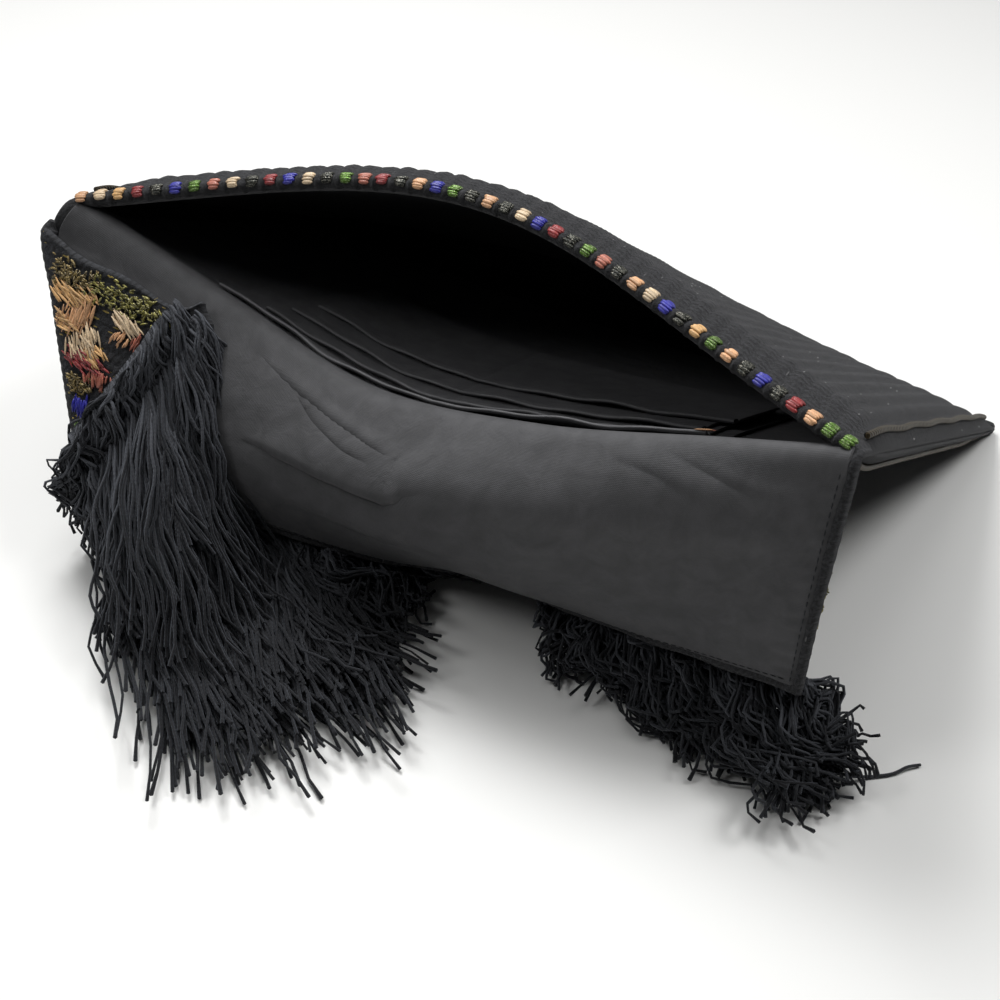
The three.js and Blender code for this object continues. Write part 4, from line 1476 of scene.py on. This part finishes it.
@dataclass
class RimRoll:
    """The mouth's rolled hem, its row of coloured floats and the piping under it."""

    radius: float = 2.2
    count: int = 45
    order: str = "PCGRDBNOCDRBCDNORDPBNDPDCBRDNODPCBDGNPDBDRPNN"
    float_length: float = 4.4
    threads: int = 6

    def tint(self, letter: str) -> Colour:
        """The yarn colour that a letter of the order stands for.

        Args:
            letter: A letter of the order.

        Returns:
            The colour.
        """
        names = {"P": Yarn.PEACH, "C": Yarn.CREAM, "G": Yarn.GOLD, "R": Yarn.RED, "D": Yarn.DARK,
                 "B": Yarn.BLUE, "N": Yarn.GREEN, "O": Yarn.ROSE}
        return names[letter].value

    def frames(self, across: Array) -> tuple[Array, Array, Array]:
        """Points, directions along the rim and directions out of the front panel on the rim.

        Args:
            across: Shares from the left seam to the right seam.

        Returns:
            Points on the rim, directions along it and directions outwards.
        """
        zero = np.zeros_like(across)
        along = SHAPE.front(across + 0.002, zero) - SHAPE.front(across - 0.002, zero)
        out = surface_normal(SHAPE.front, across, zero + 1.0, 0.002, 0.4)
        down = SHAPE.front(across, zero + 2.0) - SHAPE.front(across, zero)
        down /= np.linalg.norm(down, axis=-1, keepdims=True)
        return SHAPE.front(across, zero), along, out * 0.75 - down * 0.66

    def build(self) -> list[bpy.types.Object]:
        """Builds and dresses the roll, its floats and its piping.

        Returns:
            The pieces.
        """
        across = np.linspace(0.012, 0.988, 721)
        points, along, out = self.frames(across)
        place = across * 45.5 - 0.25
        dips = np.abs(np.cos(np.pi * place)) ** 6
        radius = self.radius * (0.88 + 0.26 * dips + 0.03 * np.sin(across * 900))
        radius[:4], radius[-4:] = 1.4, 1.4
        roll = settle(new_piece("rim_roll", rod_mesh("rim_roll", points, radius, 14)), Look.WEAVE,
                      "coloured_floats", "rim_braid")
        inner = points - out * 1.6 + np.array([0.0, 0.6, -1.1])
        piping = settle(new_piece("rim_piping", rod_mesh("rim_piping", inner, 1.0, 8)), Look.LINING,
                        "black_twill")
        return [roll, piping, *self.floats()]

    def floats(self) -> list[bpy.types.Object]:
        """Places the coloured floats round the roll, the dark and green ones in lurex.

        Returns:
            The pieces.
        """
        made = []
        at = np.repeat((np.arange(self.count) + 0.75) / 45.5, self.threads)
        letters = np.repeat(np.array(list(self.order)), self.threads)
        rng = np.random.default_rng(7)
        points, along, out = self.frames(at + rng.normal(0, 0.0007, len(at)))
        along = along / np.linalg.norm(along, axis=-1, keepdims=True)
        out = out - (out * along).sum(-1, keepdims=True) * along
        out = out / np.linalg.norm(out, axis=-1, keepdims=True)
        spread = np.tile(np.linspace(-0.85, 0.85, self.threads), self.count) + rng.normal(0, 0.06, len(at))
        upright = out * np.cos(spread)[:, None] + np.cross(along, out) * np.sin(spread)[:, None]
        slant = along + upright[:, [1, 2, 0]] * rng.normal(0, 0.06, (len(at), 1))
        sizes = np.array([self.float_length, 1.35, 1.3]) * rng.uniform(0.88, 1.1, (len(at), 3))
        sizes[:, 0] *= 1 - 0.22 * np.abs(spread)
        for label, own, look in (("satin", "PCGRBO", Look.SATIN), ("lurex", "DN", Look.SPARKLE)):
            chosen = np.isin(letters, list(own))
            tints = np.array([self.tint(letter) for letter in letters[chosen]])
            tints = tints * rng.uniform(0.7, 1.15, (len(tints), 1))
            places = points[chosen] + upright[chosen] * (self.radius + 0.1)
            mesh = points_mesh(f"rim_floats_{label}", to_frame(places),
                               frames_from(slant[chosen], upright[chosen]), sizes[chosen] / 1000, tints)
            made.append(stitched(mesh, 8, 8, look, "coloured_floats"))
        return made


@dataclass
class SideCords:
    """The bronze lurex cords on both margins of both side seams."""

    inset: float = 4.0
    radius: float = 0.95
    start: float = 8.0
    end: float = 170.0

    def build(self) -> list[bpy.types.Object]:
        """Builds and dresses the four cords.

        Returns:
            The pieces.
        """
        made = []
        lengths = np.linspace(self.start, self.end, 90)
        wander = 0.25 * np.sin(lengths / 5.3)
        for side, edge in (("left", self.inset), ("right", SHAPE.body_width - self.inset)):
            a = np.full_like(lengths, edge / SHAPE.body_width) + wander / SHAPE.body_width
            out = surface_normal(SHAPE.front, a, np.minimum(lengths, 178), 0.002, 0.4)
            front = SHAPE.front(a, lengths) + out * 3.0
            under = surface_normal(SHAPE.sheet, a, -lengths, -0.002, 0.4)
            back = SHAPE.sheet(a, -lengths) - under * 3.0
            for panel, points in (("front", front), ("back", back)):
                name = f"side_cord_{panel}_{side}"
                mesh = rod_mesh(name + "_lurex", points, self.radius, 8, np.array([1.0, 0.0, 0.0]))
                made.append(settle(new_piece(name + "_lurex", mesh), Look.CORD, "bronze_cord", name))
        return made


@dataclass(frozen=True)
class StitchPatch:
    """A cluster of stitches on the flap's outer face.

    Its place is in millimetres from the flap's left side and down from the lip, and its heading in
    degrees from the hem's direction.
    """

    right: float
    down: float
    width: float
    height: float
    heading: float
    length: float
    thick: float
    count: int
    yarn: Yarn
    lurex: bool = False


@dataclass
class Embroidery:
    """The stitched blossoms and floats on the flap's outer face, which shows on the folded corner."""

    period: float = 72.0
    patches: tuple[StitchPatch, ...] = (
        StitchPatch(9, 27, 7, 15, 60, 2.2, 0.75, 150, Yarn.BRONZE, True),
        StitchPatch(9, 48, 8, 26, 80, 2.2, 0.75, 240, Yarn.OLIVE, True),
        StitchPatch(14, 30, 5, 13, 66, 6.5, 0.8, 52, Yarn.GOLD),
        StitchPatch(19, 36, 9, 8, 20, 6.5, 0.8, 56, Yarn.PEACH),
        StitchPatch(24, 34, 6, 7, 80, 6.0, 0.8, 36, Yarn.GOLD),
        StitchPatch(26, 43, 7, 8, 45, 6.0, 0.8, 46, Yarn.CREAM),
        StitchPatch(29, 48, 4, 6, 60, 5.0, 0.8, 26, Yarn.GOLD),
        StitchPatch(15.5, 51, 3.5, 9, 62, 6.5, 0.8, 32, Yarn.CREAM),
        StitchPatch(32, 46, 5, 14, 70, 4.2, 0.75, 70, Yarn.RED),
        StitchPatch(35, 54, 4, 7, 30, 4.2, 0.75, 30, Yarn.ROSE),
        StitchPatch(38.5, 49, 5, 9, 45, 2.4, 0.75, 80, Yarn.BRONZE, True),
        StitchPatch(45, 54, 4.5, 8, 30, 4.2, 0.8, 44, Yarn.BLUE),
        StitchPatch(48, 63, 3.5, 4, 20, 4.0, 0.8, 18, Yarn.BLUE),
        StitchPatch(51.5, 58, 4.0, 7, 40, 2.4, 0.75, 70, Yarn.GREEN, True),
        StitchPatch(60, 66, 3.6, 9, 48, 6.2, 0.8, 34, Yarn.GOLD),
        StitchPatch(21, 51, 4.0, 5, 5, 3.0, 0.8, 14, Yarn.PEACH),
        StitchPatch(20, 56, 4.0, 4, 8, 3.0, 0.8, 12, Yarn.ROSE),
    )
    edge_lump: StitchPatch = StitchPatch(289.2, 42, 2.2, 20, 85, 2.4, 0.9, 110, Yarn.OLIVE, True)

    def stitches(self, on_corner: bool) -> dict[bool, list[tuple[float, float, float, float, float, Colour]]]:
        """Lists the stitches of the folded corner or of the rest of the flap.

        Args:
            on_corner: True for the folded corner.

        Returns:
            For satin and for lurex, each stitch's right, down, heading, length, thickness and colour.
        """
        rng = np.random.default_rng(11)
        listed: dict[bool, list[tuple[float, float, float, float, float, Colour]]] = {False: [], True: []}
        placed = [(patch, repeat * self.period) for repeat in range(4) for patch in self.patches]
        if not on_corner:
            placed.append((self.edge_lump, 0.0))
        for patch, shift in placed:
            for _ in range(patch.count):
                x, y = np.clip(rng.normal(0, 0.3, 2), -0.55, 0.55)
                right = patch.right + shift + x * patch.width
                down = patch.down + y * patch.height
                if not self.fits(on_corner, right, down):
                    continue
                heading = patch.heading + rng.normal(0, 45 if patch.lurex else 8)
                tone = rng.uniform(0.35, 1.5) if patch.lurex else rng.uniform(0.55, 1.25)
                colour = tuple(tone * c for c in patch.yarn.value)
                listed[patch.lurex].append((right, down, heading, patch.length * rng.uniform(0.7, 1.15),
                                            patch.thick * rng.uniform(0.8, 1.2), colour))
        return listed

    def fits(self, on_corner: bool, right: float, down: float) -> bool:
        """Tells whether a stitch lies on the folded corner, or on the rest of the flap.

        Args:
            on_corner: True to ask about the folded corner.
            right: Millimetres from the flap's left side.
            down: Millimetres from the lip.

        Returns:
            True where it does.
        """
        crease = float(SHAPE.crease_at(np.array(down)))
        if not on_corner:
            return right > crease + 6 and right < 290.6 and down < 70
        towards = (down - SHAPE.ear_start) / (SHAPE.flap_length - SHAPE.ear_start) - right / SHAPE.ear_width
        share = right / SHAPE.ear_width / max(0.02, 1 - towards)
        inside_edge = share > float(corner_edge(np.array(towards))) + 0.03
        return 0 < towards < 0.97 and inside_edge and right < crease - 1.5

    def build(self) -> list[bpy.types.Object]:
        """Builds the stitches on the folded corner and on the rest of the flap's outer face.

        Returns:
            The pieces.
        """
        made = []
        for on_corner, place in ((True, "corner"), (False, "flap")):
            for lurex, stitches in self.stitches(on_corner).items():
                right, down, heading, length, thick = (np.array([s[i] for s in stitches]) for i in range(5))
                tints = np.array([s[5] for s in stitches])
                angle = np.radians(heading)
                step_right, step_down = np.cos(angle), np.sin(angle)
                surface = SHAPE.ear if on_corner else self.flap_face
                layer = 0.25 * np.sin(np.arange(len(right)) * 2.4)
                height = 1.55 + layer
                if on_corner:
                    height = SHAPE.ear_height + 1.5 + 1.2 * (1 - right / 69) + layer
                normal = surface_normal(surface, right, down, 0.4, 0.4)
                along = (surface(right + step_right, down + step_down)
                         - surface(right - step_right, down - step_down))
                points = surface(right, down) + normal * height[..., None]
                sizes = np.stack([length, thick, 0.9 * thick], -1) / 1000
                name = f"{'lurex' if lurex else 'satin'}_stitches_{place}"
                mesh = points_mesh(name, to_frame(points), frames_from(along, normal), sizes, tints)
                made.append(stitched(mesh, 5, 6, Look.SPARKLE if lurex else Look.SATIN, "coloured_floats"))
        return made

    def flap_face(self, right: Array, down: Array) -> Array:
        """The flap's surface by flat millimetres, whose normal points away from the lining."""
        crease = SHAPE.crease_at(down)
        return SHAPE.sheet((right - crease) / (SHAPE.body_width - crease), down)


class Row(Enum):
    """The rows that fringe hangs from."""

    CORNER_UPPER = "corner_upper"
    CORNER_HEM = "corner_hem"
    FLAP_HEM = "flap_hem"


@dataclass(frozen=True)
class FringeRow:
    """One stretch of fringe.

    Each row of its table has a place along the hem, the heading on the floor in degrees from straight
    ahead to the right, and the strands' reach and end height as shares of the fringe's length. Each
    tier is the share of its path at which a lock is cut.
    """

    row: Row
    sweep: tuple[tuple[float, float, float, float], ...]
    strands: int
    seed: int
    tiers: tuple[float, ...] = (1.0,)
    pile: float = 2.5


@dataclass
class Fringe:
    """The cotton fringe in its locks, and the woven header that it is sewn on."""

    length: float = 90.0
    row_height: float = 14.0
    spread: float = 8.0
    lock_size: int = 13
    radius: float = 0.46
    steps: int = 20
    header_width: float = 14.0
    rows: tuple[FringeRow, ...] = (
        FringeRow(Row.CORNER_UPPER, ((0, 92, 0.26, 0.36), (0.05, 84, 0.26, 0.28), (0.2, 66, 0.26, 0.22),
                                     (0.35, 36, 0.18, 0.15), (0.5, 16, 0.18, 0.12), (0.65, 10, 0.23, 0.09),
                                     (0.8, 12, 0.18, 0.07), (1, 14, 0.14, 0.05)), 620, 1, (0.75, 0.9, 1.0)),
        FringeRow(Row.CORNER_HEM, ((0, 66, 0.34, 0.3), (0.15, 60, 0.58, 0.14), (0.3, 54, 0.66, 0.05),
                                   (0.45, 51, 0.98, 0.03), (0.6, 50, 1.04, 0.03), (0.75, 51, 1.0, 0.03),
                                   (0.9, 54, 0.8, 0.03), (1, 60, 0.42, 0.03)),
                  900, 2, (0.6, 0.78, 0.9, 1.0, 1.0)),
        FringeRow(Row.FLAP_HEM, ((0, 54, 1.08, 0.03), (0.04, 53, 1.2, 0.02), (0.08, 53, 1.25, 0.02),
                                 (0.12, 55, 1.24, 0.02), (0.16, 58, 1.18, 0.02), (0.2, 62, 1.08, 0.02),
                                 (0.24, 66, 0.8, 0.02), (0.28, 70, 0.5, 0.02), (0.33, 100, 0.36, 0.02)),
                  780, 3, (0.8, 0.95, 1.0)),
        FringeRow(Row.FLAP_HEM, ((0.33, 130, 0.45, 0.02), (0.38, 155, 0.5, 0.02), (0.58, 165, 0.6, 0.02),
                                 (0.63, 150, 0.5, 0.02)), 260, 4),
        FringeRow(Row.FLAP_HEM, ((0.64, 66, 0.22, 0.02), (0.66, 61, 0.3, 0.02), (0.7, 65, 0.41, 0.02),
                                 (0.74, 66, 0.5, 0.02), (0.78, 59, 0.46, 0.02), (0.82, 64, 0.48, 0.02),
                                 (0.86, 66, 0.52, 0.02), (0.9, 57, 0.55, 0.02), (0.94, 68, 0.42, 0.02),
                                 (0.98, 78, 0.26, 0.03), (1, 90, 0.2, 0.05)), 820, 5, (0.85, 1.0), 6.0),
    )

    def roots(self, row: FringeRow, at: Array) -> tuple[Array, Array, Array]:
        """Where strands leave their row.

        Args:
            row: The row.
            at: Each strand's place along it.

        Returns:
            Points, the cloth's outward direction, and its direction down towards the hem.
        """
        flap = SHAPE.flap_length
        if row.row is Row.FLAP_HEM:
            down = np.full_like(at, flap - 1.0)
            normal = -surface_normal(SHAPE.sheet, at, down, -0.002, 0.4)
            ahead = SHAPE.sheet(at, down) - SHAPE.sheet(at, down - 3)
            point = SHAPE.sheet(at, down) + normal * 2.2
        else:
            upper = row.row is Row.CORNER_UPPER
            down = np.full_like(at, flap - (self.row_height if upper else 6.0))
            right = (0.06 + 0.94 * at) * SHAPE.crease_at(down)
            normal = surface_normal(SHAPE.ear, right, down, 0.4, 0.4)
            ahead = SHAPE.ear(right, down) - SHAPE.ear(right, down - 3)
            point = SHAPE.ear(right, down) + normal * (SHAPE.ear_height + (3.2 if upper else 2.4))
        ahead /= np.linalg.norm(ahead, axis=-1, keepdims=True)
        return point, normal, ahead

    def strand_lines(self, row: FringeRow) -> tuple[Array, Array, Array]:
        """Works out the strands of a row, which curl together in locks.

        Args:
            row: The row.

        Returns:
            The lines, the radius along them and each line's tone.
        """
        rng = np.random.default_rng(row.seed)
        count = row.strands
        lock = (np.arange(count) + rng.integers(0, 3, count)) // self.lock_size
        locks = lock.max() + 1
        table = np.array(row.sweep)
        first, last = table[0, 0], table[-1, 0]
        at = first + (last - first) * (np.arange(count) + rng.uniform(0, 1, count)) / count
        heading, reach, end = (np.interp(at, table[:, 0], table[:, k]) for k in (1, 2, 3))
        heading = np.radians(heading + rng.normal(0, self.spread, locks)[lock] + rng.normal(0, 4.5, count))
        reach = reach * self.length * (rng.normal(0.9, 0.06, locks)[lock] + rng.normal(0, 0.04, count))
        root, normal, leave = self.roots(row, at)
        root = root + normal * rng.uniform(0, 2.6, count)[:, None]
        ahead = np.stack([np.sin(heading), -np.cos(heading), 0 * heading], -1)
        side = np.stack([np.cos(heading), np.sin(heading), 0 * heading], -1)
        tip = root + ahead * reach[:, None]
        tip[:, 2] = end * self.length + rng.uniform(0.5, 6.0, count)
        fall = root[:, 2] - tip[:, 2]
        from_flap = row.row is Row.FLAP_HEM
        share_reach, share_fall = (0.2, 0.6) if from_flap else (0.45, 0.3)
        up = np.array([0.0, 0.0, 1.0])
        bulge = rng.uniform(0.5, 3.0, locks)[lock] + rng.uniform(0, 1, count)
        bulge = bulge + (6.0 if row.row is Row.CORNER_UPPER else 0.0)
        start = root + leave * (5.0 if from_flap else 8.0) + normal * bulge[:, None]
        middle = root + ahead * (share_reach * reach)[:, None] - up * (share_fall * fall)[:, None]
        middle = middle + (normal * bulge[:, None] if not from_flap else 0)
        late = tip - ahead * (0.35 * reach)[:, None] + up * (0.12 * fall)[:, None]
        cut_at = rng.choice(row.tiers, locks)[lock] * rng.normal(1, 0.035, count)
        t = np.linspace(0, 1, self.steps)[None, :, None] * cut_at[:, None, None]
        k = [p[:, None, :] for p in (root, start, middle, late, tip)]
        line = ((1 - t) ** 4 * k[0] + 4 * t * (1 - t) ** 3 * k[1] + 6 * t ** 2 * (1 - t) ** 2 * k[2]
                + 4 * t ** 3 * (1 - t) * k[3] + t ** 4 * k[4])
        slack = np.clip(1 - np.linalg.norm(tip - root, axis=-1) / self.length, 0.06, 0.45)[:, None, None]
        grow = smooth(t * 1.5) * 0.8 + 0.2 * t
        for size, spare, pace, own in ((2.6, 8.0, 1.3, 0.35), (1.8, 5.0, 2.9, 0.6), (0.5, 0.9, 6.5, 3.0)):
            phase = rng.uniform(0, 2 * np.pi, (locks, 1, 2))[lock] + rng.normal(0, own, (count, 1, 2))
            paces = rng.uniform(0.75, 1.25, (locks, 1, 1))[lock]
            swing = np.sin(pace * 2 * np.pi * t * paces + phase) - np.sin(phase)
            swing = swing * grow * (size + spare * slack) * rng.uniform(0.4, 1.1, (locks, 1, 1))[lock]
            line = line + side[:, None] * swing[..., :1] + up * swing[..., 1:] * 0.6
        at_end = np.clip(np.linspace(-3, 1, self.steps), 0, 1)[None, :, None]
        flick = rng.normal(0, 1.6, (count, 1, 2)) * at_end
        line = line + side[:, None] * flick[..., :1] + up * flick[..., 1:]
        floor = self.radius + 0.15 + rng.uniform(0, row.pile, (count, 1)) * (1 - 0.7 * t[..., 0])
        line[..., 2] = np.maximum(line[..., 2], floor)
        radius = np.full((count, self.steps), self.radius) * rng.uniform(0.85, 1.15, (count, 1))
        radius[:, -1] *= 1.35
        return line, radius, rng.uniform(0.1, 1, count) ** 1.5

    def build(self) -> list[bpy.types.Object]:
        """Builds the strands and the header.

        Returns:
            The pieces.
        """
        made = []
        for number, row in enumerate(self.rows):
            line, radius, tones = self.strand_lines(row)
            name = f"fringe_strands_{number + 1}"
            piece = grown(name, lines_mesh(name, line, radius, tones), strand_tree(),
                          {"Thickness factor": 1.0, "Sides": 4, "Material": Look.FRINGE.material()})
            made.append(settle(piece, None, "fringe_cotton", *(("hem_fringe",) if number == 0 else ())))
        for name, mesh in (("fringe_header_flap", self.flap_header()),
                           ("fringe_header_corner", self.corner_header())):
            made.append(settle(new_piece(name, mesh), Look.WEAVE, "fringe_cotton"))
        return made

    def flap_header(self) -> bpy.types.Mesh:
        """Makes the header band on the flap's outer face.

        Returns:
            The mesh.
        """
        rows = np.linspace(SHAPE.flap_length - self.header_width, SHAPE.flap_length - 0.5, 12)[::-1]
        patch = sheet_patch(np.linspace(0.01, 0.99, 181), rows)
        low = -2.7 - 0.4 * ribs(patch.right, patch.down, 2.0, 2.4)
        return cloth_mesh("fringe_header_flap", patch, low, -1.6)

    def corner_header(self) -> bpy.types.Mesh:
        """Makes the header band on the folded corner.

        Returns:
            The mesh.
        """
        down = np.linspace(SHAPE.flap_length - self.header_width, SHAPE.flap_length - 0.5, 12)
        share = np.linspace(0.2, 0.96, 60)
        s, d = np.meshgrid(share, down)
        right = s * SHAPE.crease_at(d)
        normals = surface_normal(SHAPE.ear, right, d, 0.4, 0.4)
        patch = Patch(SHAPE.ear(right, d), normals, right, d)
        high = SHAPE.ear_height + 2.4 + 0.4 * ribs(right, d, 2.0, 2.4)
        return cloth_mesh("fringe_header_corner", patch, SHAPE.ear_height + 1.2, high)


@dataclass
class LooseThreads:
    """The stray strand at the right, the bar tack at the card slots and the hem's stitches."""

    def build(self) -> list[bpy.types.Object]:
        """Builds the loose threads.

        Returns:
            The pieces.
        """
        return [self.stray(), self.bar_tack(), self.flap_stitches()]

    def stray(self) -> bpy.types.Object:
        """Makes the strand that lies by itself at the right.

        Returns:
            The piece.
        """
        knots = np.array([[150, -22, 4], [155, -20, 2.5], [160, -16, 1.0], [165, -12, 0.9], [168, -8, 1.4],
                          [171, -5, 0.9]], float)
        t = np.linspace(0, 1, 24)
        line = read_rows(np.linspace(0, 1, 6), np.repeat(knots[:, None], 24, 1), t)
        radius = np.full((1, 24), 0.5)
        source = lines_mesh("stray_strand", line[None], radius, np.array([0.5]))
        piece = grown("stray_strand", source, strand_tree(),
                      {"Thickness factor": 1.0, "Sides": 6, "Material": Look.FRINGE.material()})
        return settle(piece, None, "fringe_cotton")

    def bar_tack(self) -> bpy.types.Object:
        """Makes the small tan and red tack at the first slot's right end.

        Returns:
            The piece.
        """
        a = np.array([0.836, 0.838, 0.84, 0.842, 0.839])
        run = np.array([-4.4, -4.9, -4.2, -5.2, -5.6])
        normal = surface_normal(SHAPE.sheet, a, run, -0.002, 0.4)
        along = SHAPE.sheet(a + 0.01, run) - SHAPE.sheet(a - 0.01, run - 0.4)
        points = SHAPE.sheet(a, run) + normal * 4.0
        tints = np.array([yarn.value for yarn in (Yarn.PEACH, Yarn.RED, Yarn.PEACH, Yarn.ROSE, Yarn.GOLD)])
        sizes = np.tile(np.array([4.8, 0.55, 0.5]) / 1000, (5, 1))
        mesh = points_mesh("bar_tack", to_frame(points), frames_from(along, normal), sizes, 0.6 * tints)
        return stitched(mesh, 5, 6, Look.THREAD, "pocket_twill")

    def flap_stitches(self) -> bpy.types.Object:
        """Makes the row of stitches inside the flap's right edge and its hem.

        Returns:
            The piece.
        """
        run = np.arange(6, SHAPE.flap_length - 4, 2.6)
        side = np.full_like(run, 1 - 3.6 / SHAPE.body_width)
        across = np.arange(0.05, 0.985, 2.6 / 250)
        hem = np.full_like(across, SHAPE.flap_length - 4.0)
        a, r = np.concatenate([side, across]), np.concatenate([run, hem])
        normal = surface_normal(SHAPE.sheet, a, r, -0.002, 0.4)
        down = SHAPE.sheet(a, r + 0.5) - SHAPE.sheet(a, r - 0.5)
        over = SHAPE.sheet(a + 0.002, r) - SHAPE.sheet(a - 0.002, r)
        along = np.where((np.arange(len(a)) < len(run))[:, None], down, over)
        points = SHAPE.sheet(a, r) + normal * (2.32 + SHAPE.folds(a, r))[:, None]
        sizes = np.tile(np.array([1.9, 0.4, 0.35]) / 1000, (len(a), 1))
        tints = np.tile(np.array(Yarn.BLACK.value), (len(a), 1))
        mesh = points_mesh("flap_stitches", to_frame(points), frames_from(along, normal), sizes, tints)
        return stitched(mesh, 5, 6, Look.THREAD, "black_twill")


@dataclass
class Studio:
    """The camera, the pale sweep and the soft lights."""

    place: tuple[float, float, float] = (206.228, -291.717, 363.029)
    yaw: float = -0.553
    pitch: float = 0.760
    roll: float = -0.033
    lens: float = 54.0
    spread: float = 110.0
    aim: tuple[float, float, float] = (0.05, -0.2, 0.0)

    def build(self) -> None:
        """Sets up the camera, the sweep, the lights and the world."""
        self.camera()
        self.sweep()
        self.light("left_window", (-0.60, 0.50, 1.0), 0.5, 5.4)
        self.light("right_window", (0.62, 0.46, 1.0), 0.45, 2.7)
        self.light("front_lamp", (-0.55, -0.45, 0.8), 0.3, 0.7)
        self.light("ceiling", (-0.1, 0.1, 1.3), 0.8, 1.5)
        world = bpy.data.worlds.new("soft_room")
        world.use_nodes = True
        world.node_tree.nodes["Background"].inputs[0].default_value = (0.98, 0.99, 1.0, 1.0)
        world.node_tree.nodes["Background"].inputs[1].default_value = 0.03
        bpy.context.scene.world = world
        bpy.context.scene.view_settings.view_transform = "Standard"

    def camera(self) -> None:
        """Sets the camera as the photograph was taken."""
        sy, cy, sp, cp = math.sin(self.yaw), math.cos(self.yaw), math.sin(self.pitch), math.cos(self.pitch)
        ahead = np.array([sy * cp, cy * cp, -sp])
        right = np.array([cy, -sy, 0.0])
        up = np.cross(right, ahead)
        cr, sr = math.cos(self.roll), math.sin(self.roll)
        right, up = cr * right + sr * up, cr * up - sr * right
        data = bpy.data.cameras.new("photo_camera")
        data.lens, data.sensor_width = self.lens, 36.0
        data.clip_start, data.clip_end = 0.01, 20.0
        camera = new_piece("photo_camera", data)
        turn = Matrix(np.stack([right, up, -ahead], -1).tolist()).to_4x4()
        camera.matrix_world = Matrix.Translation(to_frame(np.array(self.place)).tolist()) @ turn
        bpy.context.scene.camera = camera

    def sweep(self) -> None:
        """Lays the pale sweep."""
        size = 3.0
        points = np.array([[-size, -size, 0], [size, -size, 0], [size, size, 0], [-size, size, 0]])
        floor = new_piece("sweep", mesh_of("sweep", points, np.array([[0, 1, 2, 3]])))
        floor.data.materials.append(Look.SWEEP.material())

    def light(self, name: str, place: tuple[float, float, float], size: float, power: float) -> None:
        """Adds one soft square light that faces the floor before the clutch.

        Args:
            name: The light's name.
            place: Its place in metres.
            size: Its side in metres.
            power: Its power in watts.
        """
        data = bpy.data.lights.new(name, "AREA")
        data.shape, data.size, data.energy, data.spread = "SQUARE", size, power, math.radians(self.spread)
        lamp = new_piece(name, data)
        away = np.array(place) - np.array(self.aim)
        away /= np.linalg.norm(away)
        side = np.cross([0.0, 0.0, 1.0], away)
        side /= np.linalg.norm(side)
        turn = Matrix(np.stack([side, np.cross(away, side), away], -1).tolist()).to_4x4()
        lamp.matrix_world = Matrix.Translation(place) @ turn


def main() -> None:
    """Builds the clutch and its studio."""
    logging.basicConfig(level=logging.INFO, format="%(name)s %(message)s")
    Studio().build()
    pieces: list[bpy.types.Object] = []
    for part in (WovenShell(), Linings(), CardPockets(), RimRoll(), SideCords(), Embroidery(), Fringe(),
                 LooseThreads()):
        made = part.build()
        LOG.info("%s: %d pieces", type(part).__name__, len(made))
        pieces += made


if __name__ == "__main__":
    main()
